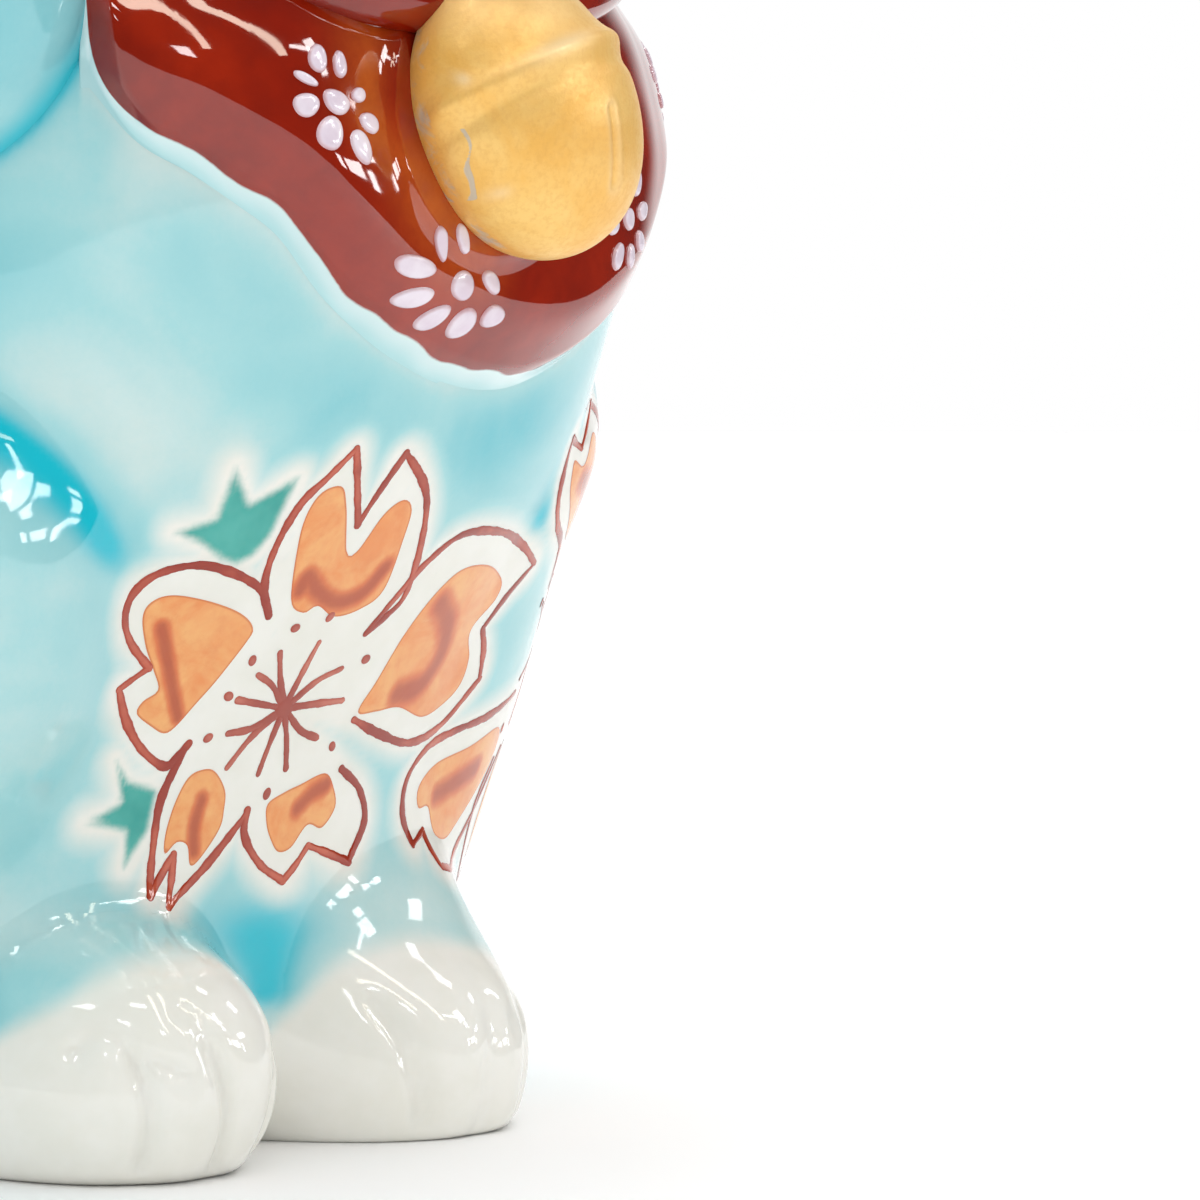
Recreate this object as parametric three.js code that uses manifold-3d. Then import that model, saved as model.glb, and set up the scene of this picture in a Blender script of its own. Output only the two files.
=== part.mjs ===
// Seated lucky cat figurine in glazed porcelain, one paw raised.
// Slip-cast hollow body and head, luted arms, hind paws, tail, bib, collar cord,
// bow and bell, and a soft bung in the drain hole of the base.
// Millimetres, +Z up, the cat faces -Y, resting on z = 0.
import * as THREE from 'three';
import { mergeVertices } from 'three/addons/utils/BufferGeometryUtils.js';
import Module from 'manifold-3d';

const wasm = await Module();
wasm.setup();

// ---------------------------------------------------------------- dimensions
const GAP = 0.3;                 // joint gap between luted pieces
const WALL = 4.0;                // cast wall
const SEGMENTS = 54;             // facets round the body
const NECK_Z = 84.0;             // rim of the body shell
const NECK_HOLE_R = 17.3;        // opening in the rim
const NECK_HOLE_DEPTH = 6.0;
const SPIGOT_R = 17.0;           // neck spigot of the head
const SPIGOT_BORE_R = 13.0;
const DRAIN_R = 8.0;             // drain hole in the base
const RECESS_R = 13.0;           // hollowed middle of the base
const RECESS_Z = 3.0;
const FLOOR_Z = 7.0;             // inside floor

// torso stations: height, half width, depth to the front, depth to the back
const TORSO = [
  [0.0, 27.0, 18.0, 27.0],
  [1.2, 29.6, 20.4, 29.6],
  [4.0, 31.6, 22.0, 31.6],
  [10.0, 33.0, 23.2, 33.0],
  [16.8, 33.4, 24.6, 34.0],
  [24.4, 33.6, 26.4, 35.0],
  [32.7, 34.2, 29.8, 35.4],
  [41.0, 35.4, 34.4, 35.0],
  [49.2, 36.8, 38.6, 34.0],
  [58.0, 38.0, 41.7, 32.5],
  [66.0, 38.2, 42.9, 30.5],
  [74.0, 36.2, 41.2, 28.0],
  [78.0, 33.6, 38.0, 26.4],
  [81.0, 30.2, 33.6, 24.8],
  [84.0, 24.6, 26.6, 22.6],
];
const TORSO_POWER = 2.3;         // squareness of the plan outline
const HAUNCH = { angle: 82, z: 34.3, spanAngle: 51.2, spanZ: 21.5, leftLow: 26, hipFrom: 50, hipTo: 95 };
const KNEE = { rise: 3.2, angle: 50, spanAngle: 14, z: 32, spanZ: 8.5 };

const HEAD = { y: -4, z: 108, a: 38, b: 33, c: 31, power: 2.3, powerZ: 2.35 };
const EAR = { x0: 18.5, x1: 25.5, y0: -4, y1: -3, z0: 121, z1: 149, r0: 15.5, r1: 2.6, flat: 0.5 };

const PAW = { x: 13.0, y: -18.5, z: 6.4, toeDepth: 0.9 };
const BIB = { angle: 8, right: 45.5, left: 39.5, offset: 0.3, thick: 2.3, edge: 2.4, rim: 0.9 };
// lower edge of the bib on the cat's right and left: degrees from its lowest point, height
const BIB_RIGHT = [
  [0, 49.7], [2, 49.75], [4.8, 50.0], [11.9, 51.3], [18.7, 53.4], [25.1, 56.6], [29.5, 60.0],
  [33.3, 61.9], [37.1, 63.7], [42.3, 66.1], [45.5, 69.0],
];
const BIB_LEFT = [
  [0, 49.7], [2, 49.72], [4.8, 50.0], [11.0, 51.3], [17.2, 53.4], [23.0, 56.4], [28.0, 59.6],
  [32.0, 62.6], [36.5, 66.1], [39.5, 69.0],
];
const COLLAR = { r: 2.3, stand: 2.3, zFront: 74.2, rise: 5.5, spread: 30 };
const BELL = { z: 67.5, r: 9.2, out: 6.2, seat: 2.9, band: 0.5, lean: 3 };
const BUNG = { flangeR: 11.0, flangeZ0: 1.2, flangeZ1: 2.7, plugR0: 7.6, plugR1: 7.2, plugZ: 12.0 };

// ---------------------------------------------------------------- helpers
const rad = (d) => (d * Math.PI) / 180;
const clamp = (x, a, b) => Math.min(b, Math.max(a, x));
// smooth step from 0 at a to 1 at b
const ramp = (a, b, x) => { const t = clamp((x - a) / (b - a), 0, 1); return t * t * (3 - 2 * t); };

function hermite(xs, ys) {
  const n = xs.length;
  const h = [], d = [], m = new Array(n);
  for (let i = 0; i < n - 1; i++) { h.push(xs[i + 1] - xs[i]); d.push((ys[i + 1] - ys[i]) / h[i]); }
  m[0] = d[0]; m[n - 1] = d[n - 2];
  for (let i = 1; i < n - 1; i++) m[i] = (d[i - 1] * h[i] + d[i] * h[i - 1]) / (h[i - 1] + h[i]);
  return (x) => {
    x = clamp(x, xs[0], xs[n - 1]);
    let i = 0;
    while (i < n - 2 && x >= xs[i + 1]) i++;
    const t = (x - xs[i]) / h[i], t2 = t * t, t3 = t2 * t;
    return (2 * t3 - 3 * t2 + 1) * ys[i] + (t3 - 2 * t2 + t) * h[i] * m[i]
      + (-2 * t3 + 3 * t2) * ys[i + 1] + (t3 - t2) * h[i] * m[i + 1];
  };
}

const column = (k) => hermite(TORSO.map((s) => s[0]), TORSO.map((s) => s[k]));
const halfWidth = column(1), frontDepth = column(2), backDepth = column(3);

function torsoR(phi, z, grow = 0) {
  const a = halfWidth(z) + grow;
  const b = (Math.cos(phi) > 0 ? frontDepth(z) : backDepth(z)) + grow;
  const n = TORSO_POWER;
  return 1 / ((Math.abs(Math.sin(phi) / a) ** n + Math.abs(Math.cos(phi) / b) ** n) ** (1 / n));
}
// how far the thighs stand out; the right one is the fuller
function haunchRise(phi, z) {
  const angle = Math.atan2(Math.sin(phi), Math.cos(phi)) * 180 / Math.PI, p = Math.abs(angle);
  const spanZ = z < HAUNCH.z && angle > 0 ? HAUNCH.leftLow : HAUNCH.spanZ;
  const h = 1 - ((p - HAUNCH.angle) / HAUNCH.spanAngle) ** 2 - ((z - HAUNCH.z) / spanZ) ** 2;
  const knee = angle < 0 ? KNEE.rise * Math.exp(-(((p - KNEE.angle) / KNEE.spanAngle) ** 2) - ((z - KNEE.z) / KNEE.spanZ) ** 2) : 0;
  if (h <= 0) return knee;
  // fuller towards the hip
  const t = clamp((p - HAUNCH.hipFrom) / (HAUNCH.hipTo - HAUNCH.hipFrom), 0, 1), hip = t * t * (3 - 2 * t);
  if (angle > 0) return (5.3 - 1.1 * t) * h ** (0.62 + 0.75 * ramp(45, 35, z)) * (1 + 0.7 * hip);
  const front = 5.5 * ramp(0, 0.5, h) + (1.2 + 1.5 * hip) * h + 0.9 * (1 - Math.exp(-h / 0.06)) * ramp(37, 43, z);
  return front + (8 * h ** 0.55 - front) * ramp(52, 66, p) + knee;
}
const bodyR = (phi, z, grow = 0) => torsoR(phi, z, grow) + haunchRise(phi, z);
// a point on the body: angle from the front, towards +X positive
const onBody = (phi, z, r) => new THREE.Vector3(r * Math.sin(phi), -r * Math.cos(phi), z);

// welds the vertices of a three.js geometry, drops slivers and turns it outwards
function weld(geo) {
  const g = geo.index ? geo : geo.clone();
  const bare = new THREE.BufferGeometry();
  bare.setAttribute('position', g.getAttribute('position').clone());
  if (g.index) bare.setIndex(g.index.clone());
  const w = mergeVertices(bare, 1e-3);
  const src = w.index.array, idx = [];
  const p = w.getAttribute('position');
  let vol = 0;
  const a = new THREE.Vector3(), b = new THREE.Vector3(), c = new THREE.Vector3();
  for (let i = 0; i < src.length; i += 3) {
    const [x, y, z] = [src[i], src[i + 1], src[i + 2]];
    if (x === y || y === z || x === z) continue;
    idx.push(x, y, z);
    a.fromBufferAttribute(p, x); b.fromBufferAttribute(p, y); c.fromBufferAttribute(p, z);
    vol += a.dot(b.cross(c)) / 6;
  }
  if (vol < 0) for (let i = 0; i < idx.length; i += 3) [idx[i + 1], idx[i + 2]] = [idx[i + 2], idx[i + 1]];
  w.setIndex(idx);
  return w;
}
function solid(geo) {
  const g = weld(geo);
  return new wasm.Manifold(new wasm.Mesh({
    numProp: 3,
    vertProperties: new Float32Array(g.getAttribute('position').array),
    triVerts: new Uint32Array(g.index.array),
  }));
}
function geometryOf(m) {
  const mesh = m.getMesh();
  const n = mesh.numProp, v = mesh.vertProperties, count = v.length / n;
  const pos = new Float32Array(count * 3);
  for (let i = 0; i < count; i++) for (let k = 0; k < 3; k++) pos[3 * i + k] = v[n * i + k];
  const g = new THREE.BufferGeometry();
  g.setAttribute('position', new THREE.BufferAttribute(pos, 3));
  g.setIndex(Array.from(mesh.triVerts));
  return g;
}

// lathe whose section may change with the angle: section(phi) -> [[r, z], ...]
function turned(section, segments) {
  const first = section(0);
  const geo = new THREE.LatheGeometry(first.map(([r, z]) => new THREE.Vector2(r, z)), segments);
  const pos = geo.getAttribute('position');
  const n = first.length;
  for (let i = 0; i <= segments; i++) {
    const phi = (2 * Math.PI * (i % segments)) / segments;
    const s = section(phi);
    for (let j = 0; j < n; j++) {
      const p = onBody(phi, s[j][1], s[j][0]);
      pos.setXYZ(i * n + j, p.x, p.y, p.z);
    }
  }
  return geo;
}
// sphere grid mapped by f(u, v) -> Vector3, u around, v from pole to pole
function mappedSphere(w, h, f) {
  const geo = new THREE.SphereGeometry(1, w, h);
  const pos = geo.getAttribute('position');
  for (let iy = 0; iy <= h; iy++) for (let ix = 0; ix <= w; ix++) {
    const p = f((ix % w) / w, iy / h);
    pos.setXYZ(iy * (w + 1) + ix, p.x, p.y, p.z);
  }
  return geo;
}
// rounded limb along a path of [x, y, z, radius], oval section given by flat = [across, along ref]
function limb(stations, { ref = [0, -1, 0], flat = [1, 1], grow = 0, around = 20, body = 12, cap = 5 } = {}) {
  const n = stations.length, ts = stations.map((_, i) => i / (n - 1));
  const fx = [0, 1, 2, 3].map((k) => hermite(ts, stations.map((s) => s[k])));
  const at = (t) => new THREE.Vector3(fx[0](t), fx[1](t), fx[2](t));
  const tangent = (t) => at(Math.min(1, t + 0.01)).sub(at(Math.max(0, t - 0.01))).normalize();
  const rings = [];
  const add = (c, t, r) => {
    const T = tangent(t);
    const e1 = new THREE.Vector3(...ref); e1.addScaledVector(T, -e1.dot(T)).normalize();
    const e2 = new THREE.Vector3().crossVectors(T, e1);
    rings.push({ c, r, e1, e2 });
  };
  const fm = Math.min(flat[0], flat[1]);
  const r0 = fx[3](0) + grow, r1 = fx[3](1) + grow;
  for (let i = 0; i <= cap; i++) {
    const a = -Math.PI / 2 + (Math.PI / 2) * (i / cap);
    add(at(0).addScaledVector(tangent(0), r0 * fm * Math.sin(a)), 0, i === 0 ? 0 : r0 * Math.cos(a));
  }
  for (let i = 1; i < body; i++) add(at(i / body), i / body, fx[3](i / body) + grow);
  for (let i = 0; i <= cap; i++) {
    const a = (Math.PI / 2) * (i / cap);
    add(at(1).addScaledVector(tangent(1), r1 * fm * Math.sin(a)), 1, i === cap ? 0 : r1 * Math.cos(a));
  }
  return mappedSphere(around, rings.length - 1, (u, v) => {
    const g = rings[Math.round(v * (rings.length - 1))];
    const w = 2 * Math.PI * u;
    return g.c.clone().addScaledVector(g.e1, g.r * flat[1] * Math.cos(w)).addScaledVector(g.e2, g.r * flat[0] * Math.sin(w));
  });
}

// ---------------------------------------------------------------- body shell
const OUTER_Z = [0, 0.6, 1.8, 4, 8, 12.5, 16.8, 21.5, 27, 32.7, 38, 43, 48, 52.5, 55.5, 58, 60, 63.5, 67.5,
  71.5, 74.5, 77.5, 80, 82.2, NECK_Z];
const INNER_Z = [75, 66, 54, 41, 27, 11];

function bodySection(phi) {
  const s = [[DRAIN_R, RECESS_Z], [RECESS_R, RECESS_Z], [RECESS_R + 0.6, 0]];
  for (const z of OUTER_Z) s.push([bodyR(phi, z), z]);
  s.push([NECK_HOLE_R, NECK_Z], [NECK_HOLE_R, NECK_Z - NECK_HOLE_DEPTH]);
  s.push([24, 77.4]);
  for (const z of INNER_Z) s.push([torsoR(phi, z, -WALL) + 0.6 * haunchRise(phi, z), z]);
  s.push([torsoR(phi, 11, -WALL) - 3, FLOOR_Z], [DRAIN_R, FLOOR_Z], [DRAIN_R, RECESS_Z]);
  return s;
}
// the body as a plain solid, grown outwards, used to seat the luted pieces
function bodyPlug(grow, haunches = true) {
  const zs = [-3, ...OUTER_Z.filter((z) => z > 0 && z < NECK_Z), NECK_Z + grow];
  return turned((phi) => [[0, -3], ...zs.map((z) => {
    const zz = clamp(z, 0.5, NECK_Z);
    return [torsoR(phi, zz, grow) + (haunches ? haunchRise(phi, zz) : 0), z];
  }), [0, NECK_Z + grow]], SEGMENTS);
}
const bodyGeo = weld(turned(bodySection, SEGMENTS));
const bodySeat = solid(bodyPlug(GAP));

// ---------------------------------------------------------------- head shell
function headPoint(u, v, grow = 0) {
  const lat = Math.PI / 2 - Math.PI * v, lon = 2 * Math.PI * u;
  const cz = Math.sin(lat), cr = Math.cos(lat);
  const n = HEAD.power, m = HEAD.powerZ;
  const dx = Math.sin(lon), dy = -Math.cos(lon);
  const plan = (Math.abs(dx / (HEAD.a + grow)) ** n + Math.abs(dy / (HEAD.b + grow)) ** n) ** (1 / n);
  const t = 1 / (((cr * plan) ** m + Math.abs(cz / (HEAD.c + grow)) ** m) ** (1 / m));
  let x = t * cr * dx, y = t * cr * dy, z = t * cz;
  // crown a little narrower than the cheeks
  const narrow = 1 - 0.10 * clamp(z / HEAD.c, 0, 1) ** 2;
  x *= narrow;
  // muzzle with two pads
  const pad = Math.exp(-(((Math.abs(x) - 5.5) / 6.5) ** 2) - ((z + 9.5) / 6.0) ** 2);
  y -= 3.0 * pad * clamp(-y / 8, 0, 1);
  return new THREE.Vector3(x, y + HEAD.y, z + HEAD.z);
}
const ear = (side) => solid(limb([
  [side * EAR.x0, EAR.y0, EAR.z0, EAR.r0],
  [side * (EAR.x0 + EAR.x1) / 2, (EAR.y0 + EAR.y1) / 2, (EAR.z0 + EAR.z1) / 2, (EAR.r0 + EAR.r1) * 0.53],
  [side * EAR.x1, EAR.y1, EAR.z1, EAR.r1],
], { ref: [0, -1, 0], flat: [1, EAR.flat], around: 16, body: 6, cap: 3 }));
const column2 = (r, z0, z1, seg = 36) => turned(() => [[0, z0], [r, z0], [r, z1], [0, z1]], seg);
const headCut = solid(column2(60, NECK_Z - 20, NECK_Z + GAP, 24));
let head = solid(mappedSphere(36, 20, (u, v) => headPoint(u, v))).add(ear(1)).add(ear(-1));
head = head.subtract(headCut);
head = head.add(solid(column2(SPIGOT_R, NECK_Z - NECK_HOLE_DEPTH + GAP, NECK_Z + 3)));
head = head.subtract(solid(mappedSphere(20, 12, (u, v) => headPoint(u, v, -WALL))));
head = head.subtract(solid(column2(SPIGOT_BORE_R, NECK_Z - 12, NECK_Z + 8)));
const headSeat = solid(mappedSphere(36, 20, (u, v) => headPoint(u, v, GAP)));

// ---------------------------------------------------------------- collar cord
const collarZ = (phi) => {
  let p = phi * 180 / Math.PI; if (p > 180) p -= 360;
  return COLLAR.zFront + COLLAR.rise * (1 - Math.exp(-((p / COLLAR.spread) ** 2)));
};
function cord(grow) {
  const radial = 9, tubular = 60;
  const geo = new THREE.TorusGeometry(1, 0.1, radial, tubular);
  const pos = geo.getAttribute('position');
  for (let j = 0; j <= radial; j++) for (let i = 0; i <= tubular; i++) {
    const phi = (2 * Math.PI * (i % tubular)) / tubular, w = (2 * Math.PI * (j % radial)) / radial;
    const z = collarZ(phi), r = torsoR(phi, z) + COLLAR.stand, c = COLLAR.r + grow;
    const p = onBody(phi, z + c * Math.sin(w), r + c * Math.cos(w));
    pos.setXYZ(j * (tubular + 1) + i, p.x, p.y, p.z);
  }
  return solid(geo);
}

// ---------------------------------------------------------------- arms
const RAISED = [
  [-30.5, -21.5, 75.5, 12.7],
  [-38.0, -25.0, 87.0, 11.2],
  [-43.0, -28.0, 100.0, 9.8],
  [-43.5, -30.0, 111.0, 9.6],
  [-41.5, -32.0, 122.0, 11.4],
];
const LOWERED = [
  [33.5, -8.0, 74.5, 11.0],
  [37.6, -7.5, 65.0, 10.0],
  [38.6, -8.5, 56.0, 9.6],
];
const collarSeat = cord(GAP);
const raisedLimb = (grow) => solid(limb(RAISED, { ref: [0, -1, 0], grow, around: 18, body: 10, cap: 5 }));
const loweredLimb = (grow) => solid(limb(LOWERED, { ref: [0, -1, 0], grow, around: 18, body: 6, cap: 5 }));
const raisedArm = raisedLimb(0).subtract(bodySeat).subtract(collarSeat).subtract(headSeat);
const loweredArm = loweredLimb(0).subtract(bodySeat).subtract(collarSeat).subtract(headSeat);

// ---------------------------------------------------------------- hind paws
// squared ball: negative inside
function ball(x, y, z, a, b, c, n, low = 1) {
  const zz = z < 0 ? z * low : z;
  return ((Math.abs(x / a) ** n + Math.abs(y / b) ** n + Math.abs(zz / c) ** n) ** (1 / n) - 1) * 11;
}
function pawField(side, x, y, z) {
  if (side < 0) {
    const Z = z - 6.4, X = (x + 13.2) / (1 - 0.016 * clamp(Z, 0, 12)), Y = y + 19;
    const instep = 1 + 0.22 * clamp((Y + 6) / 14, 0, 1);
    return ball(X, Y, Z > 0 ? Z / instep : Z, 10.6, 15, 10, 2.25);
  }
  // the left foot: toes in front, a broad instep behind
  const toe = ball(x - 13, y + 18.4, z - 5, 10.4, 14.4, 8.4, 2.2, 0.75);
  const instep = ball(x - 11.5, y + 15.6, z - 9.2, 12, 10.4, 11, 2.5), k = 2.6;
  return -k * Math.log(Math.exp(-toe / k) + Math.exp(-instep / k)) + 0.25;
}
function paw(side) {
  return mappedSphere(28, 16, (u, v) => {
    const lat = Math.PI / 2 - Math.PI * v, lon = 2 * Math.PI * u;
    const dx = Math.cos(lat) * Math.sin(lon), dy = -Math.cos(lat) * Math.cos(lon), dz = Math.sin(lat);
    let lo = 1, hi = 30;
    for (let i = 0; i < 40; i++) {
      const r = (lo + hi) / 2;
      if (pawField(side, side * PAW.x + dx * r, PAW.y + dy * r, PAW.z + dz * r) < 0) lo = r; else hi = r;
    }
    let x = dx * lo, y = dy * lo, z = dz * lo;
    // two grooves between three toes
    const fore = clamp((-y - 6) / 7, 0, 1);
    for (const g of [-3.6, 3.6]) {
      const e = Math.exp(-(((x - g) / 1.1) ** 2)) * fore * PAW.toeDepth;
      y += e; z -= 0.5 * e * Math.sign(z);
    }
    return new THREE.Vector3(x + side * PAW.x, y + PAW.y, z + PAW.z);
  });
}
const ground = solid(turned(() => [[0, -40], [90, -40], [90, 0], [0, 0]], 16));
const rightPaw = solid(paw(-1)).subtract(ground).subtract(bodySeat);
const leftPaw = solid(paw(1)).subtract(ground).subtract(bodySeat);

// ---------------------------------------------------------------- tail
const TAIL = [
  [-8.0, 31.0, 8.0, 5.2],
  [3.0, 36.0, 9.0, 6.0],
  [13.5, 36.5, 15.0, 6.0],
  [17.0, 34.5, 25.0, 5.6],
  [12.5, 34.5, 33.0, 5.0],
];
const tail = solid(limb(TAIL, { ref: [0, 1, 0], around: 12, body: 12, cap: 3 })).subtract(bodySeat).subtract(ground);

// ---------------------------------------------------------------- bib
const edgeOf = (table) => hermite(table.map((e) => e[0]), table.map((e) => e[1]));
const bibLowRight = edgeOf(BIB_RIGHT), bibLowLeft = edgeOf(BIB_LEFT);
function bibSolid() {
  const nu = 28, nv = 8;
  const geo = new THREE.BoxGeometry(1, 1, 1, nu, nv, 2);
  const pos = geo.getAttribute('position');
  for (let i = 0; i < pos.count; i++) {
    const u = pos.getX(i) * 2, v = pos.getY(i) + 0.5, w = pos.getZ(i) + 0.5;
    const half = u < 0 ? BIB.right : BIB.left, delta = Math.abs(u) * half, phi = rad(BIB.angle + u * half);
    const zl = (u < 0 ? bibLowRight : bibLowLeft)(delta), zt = collarZ(phi) - 0.9;
    const z = zl + (zt - zl) * v;
    const r = torsoR(phi, z);
    const side = (1 - Math.abs(u)) * rad(half) * r, low = (z - zl) * 0.8;
    const e = clamp(Math.min(side, low) / BIB.edge, 0, 1);
    const full = BIB.rim + (BIB.thick - BIB.rim) * Math.sqrt(1 - (1 - e) ** 2);
    const p = onBody(phi, z, r + BIB.offset + w * full);
    pos.setXYZ(i, p.x, p.y, p.z);
  }
  return solid(geo);
}
const bib = bibSolid().subtract(collarSeat).subtract(raisedLimb(GAP)).subtract(loweredLimb(GAP));

// ---------------------------------------------------------------- bell
// round jingle bell in half relief: dome, belt and a mouth slot below the belt
const bellSeatR = torsoR(0, BELL.z) + BELL.seat - 0.3;
function bellDome(grow) {
  const lean = rad(BELL.lean);
  const c = new THREE.Vector3(0, -bellSeatR, BELL.z);
  const out = new THREE.Vector3(0, -Math.cos(lean), Math.sin(lean));
  const up = new THREE.Vector3(0, out.z, -out.y).normalize();
  const across = new THREE.Vector3(1, 0, 0);
  return mappedSphere(30, 16, (u, v) => {
    const lat = Math.PI / 2 - Math.PI * v, lon = 2 * Math.PI * u;
    const ex = Math.cos(lat) * Math.sin(lon), ey = Math.sin(lat), ez = Math.cos(lat) * Math.cos(lon);
    // belt round the middle, leaning with the bell
    const belt = Math.exp(-(((ey - 0.12 * ex) / 0.10) ** 2)) * BELL.band;
    const k = 1 + belt / BELL.r;
    return c.clone()
      .addScaledVector(across, ex * (BELL.r + grow) * k)
      .addScaledVector(up, ey * (BELL.r + grow))
      .addScaledVector(out, ez * (BELL.out + grow) * k);
  });
}
const bibSeat = solid(bodyPlug(BELL.seat, false));
const bell = solid(bellDome(0)).subtract(bibSeat).subtract(collarSeat);
const collar = cord(0).subtract(bodySeat);

// ---------------------------------------------------------------- bow at the nape
const napeZ = collarZ(Math.PI), napeR = torsoR(Math.PI, napeZ) + COLLAR.stand;
const bowLoop = (s) => solid(limb([
  [s * 1.5, napeR + 4.2, napeZ, 2.6],
  [s * 7.5, napeR + 4.6, napeZ + 2.2, 4.6],
  [s * 13.5, napeR + 2.6, napeZ + 2.6, 3.4],
], { ref: [0, 1, 0], flat: [1, 0.62], around: 10, body: 5, cap: 3 }));
const bowTail = (s) => solid(limb([
  [s * 1.0, napeR + 4.2, napeZ - 1.0, 2.2],
  [s * 4.5, napeR + 4.6, napeZ - 7.0, 2.6],
  [s * 7.5, napeR + 5.0, napeZ - 13.0, 2.4],
], { ref: [0, 1, 0], flat: [1, 0.6], around: 8, body: 4, cap: 2 }));
const bowKnot = solid(mappedSphere(12, 8, (u, v) => {
  const lat = Math.PI / 2 - Math.PI * v, lon = 2 * Math.PI * u;
  return new THREE.Vector3(3.4 * Math.cos(lat) * Math.sin(lon), napeR + 4.8 - 2.9 * Math.cos(lat) * Math.cos(lon), napeZ + 3.6 * Math.sin(lat));
}));
const bow = bowKnot.add(bowLoop(1)).add(bowLoop(-1)).add(bowTail(1)).add(bowTail(-1))
  .subtract(collarSeat).subtract(bodySeat).subtract(headSeat);

// ---------------------------------------------------------------- base stopper
const bungGeo = weld(turned(() => [
  [0, BUNG.flangeZ0 + 0.5], [3.6, BUNG.flangeZ0 + 0.5], [4.4, BUNG.flangeZ0], [BUNG.flangeR - 0.5, BUNG.flangeZ0],
  [BUNG.flangeR, BUNG.flangeZ0 + 0.5], [BUNG.flangeR, BUNG.flangeZ1], [BUNG.plugR0, BUNG.flangeZ1],
  [BUNG.plugR0, FLOOR_Z], [BUNG.plugR1, BUNG.plugZ - 0.8], [BUNG.plugR1 - 0.8, BUNG.plugZ], [0, BUNG.plugZ],
], 32));

// ---------------------------------------------------------------- assembly
const group = new THREE.Group();
group.name = 'lucky_cat_figurine';
function piece(name, shape, color, roughness, metalness = 0) {
  const geo = shape.isBufferGeometry ? shape : geometryOf(shape);
  geo.computeVertexNormals();
  const mesh = new THREE.Mesh(geo, new THREE.MeshStandardMaterial({ color, roughness, metalness }));
  mesh.name = name;
  group.add(mesh);
}
const TURQUOISE = 0xa4dadc, IVORY = 0xe4e4da, RED = 0x8c1405, GOLD = 0xebb45f, VINYL = 0xd9d6cc;
piece('body_shell', bodyGeo, TURQUOISE, 0.12);
piece('head_shell', head, TURQUOISE, 0.12);
piece('raised_arm', raisedArm, TURQUOISE, 0.12);
piece('lowered_arm', loweredArm, TURQUOISE, 0.12);
piece('right_hind_paw', rightPaw, IVORY, 0.12);
piece('left_hind_paw', leftPaw, IVORY, 0.12);
piece('tail', tail, TURQUOISE, 0.12);
piece('bib', bib, RED, 0.08);
piece('collar_cord', collar, RED, 0.08);
piece('bow', bow, RED, 0.08);
piece('bell', bell, GOLD, 0.38, 0.6);
piece('base_stopper', bungGeo, VINYL, 0.6);

// origin under the middle of the outline
const box = new THREE.Box3();
for (const m of group.children) { m.geometry.computeBoundingBox(); box.union(m.geometry.boundingBox); }
const mid = box.getCenter(new THREE.Vector3());
for (const m of group.children) m.geometry.translate(-mid.x, -mid.y, -box.min.z);

export default group;
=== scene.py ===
import math

import bpy
import numpy as np
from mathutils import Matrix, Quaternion, Vector
from mathutils.geometry import delaunay_2d_cdt


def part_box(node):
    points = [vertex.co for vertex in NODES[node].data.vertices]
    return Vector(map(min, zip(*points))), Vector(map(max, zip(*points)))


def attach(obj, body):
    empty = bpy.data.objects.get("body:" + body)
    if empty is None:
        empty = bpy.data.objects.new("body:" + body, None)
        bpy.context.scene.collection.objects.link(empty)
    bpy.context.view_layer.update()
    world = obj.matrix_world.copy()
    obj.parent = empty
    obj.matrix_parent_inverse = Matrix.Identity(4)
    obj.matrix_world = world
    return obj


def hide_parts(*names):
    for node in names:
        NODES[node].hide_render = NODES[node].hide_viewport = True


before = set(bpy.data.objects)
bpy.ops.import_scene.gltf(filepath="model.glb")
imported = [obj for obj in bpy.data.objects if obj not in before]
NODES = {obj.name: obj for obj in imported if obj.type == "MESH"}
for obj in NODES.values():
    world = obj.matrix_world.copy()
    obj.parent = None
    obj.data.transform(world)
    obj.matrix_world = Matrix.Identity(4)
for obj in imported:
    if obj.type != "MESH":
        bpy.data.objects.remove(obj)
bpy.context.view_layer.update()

_lo, _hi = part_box("base_stopper")
# the upright axis of the body in the row frame (mm); shapes below are given about it
AXIS = np.array([(_lo.x + _hi.x) * 500.0, (_lo.y + _hi.y) * 500.0, 0.0])


# ------------------------------------------------------------------ surfaces
def hermite(xs, ys):
    xs = np.asarray(xs, float)
    ys = np.asarray(ys, float)
    h = np.diff(xs)
    d = np.diff(ys) / h
    m = np.empty_like(ys)
    m[0], m[-1] = d[0], d[-1]
    m[1:-1] = (d[:-1] * h[1:] + d[1:] * h[:-1]) / (h[:-1] + h[1:])

    def f(x):
        x = np.clip(np.asarray(x, float), xs[0], xs[-1])
        i = np.clip(np.searchsorted(xs, x, side="right") - 1, 0, len(xs) - 2)
        t = (x - xs[i]) / h[i]
        t2, t3 = t * t, t * t * t
        return ((2 * t3 - 3 * t2 + 1) * ys[i] + (t3 - 2 * t2 + t) * h[i] * m[i]
                + (-2 * t3 + 3 * t2) * ys[i + 1] + (t3 - t2) * h[i] * m[i + 1])
    return f


def sstep(a, b, x):
    t = np.clip((x - a) / (b - a), 0.0, 1.0)
    return t * t * (3 - 2 * t)


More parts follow.
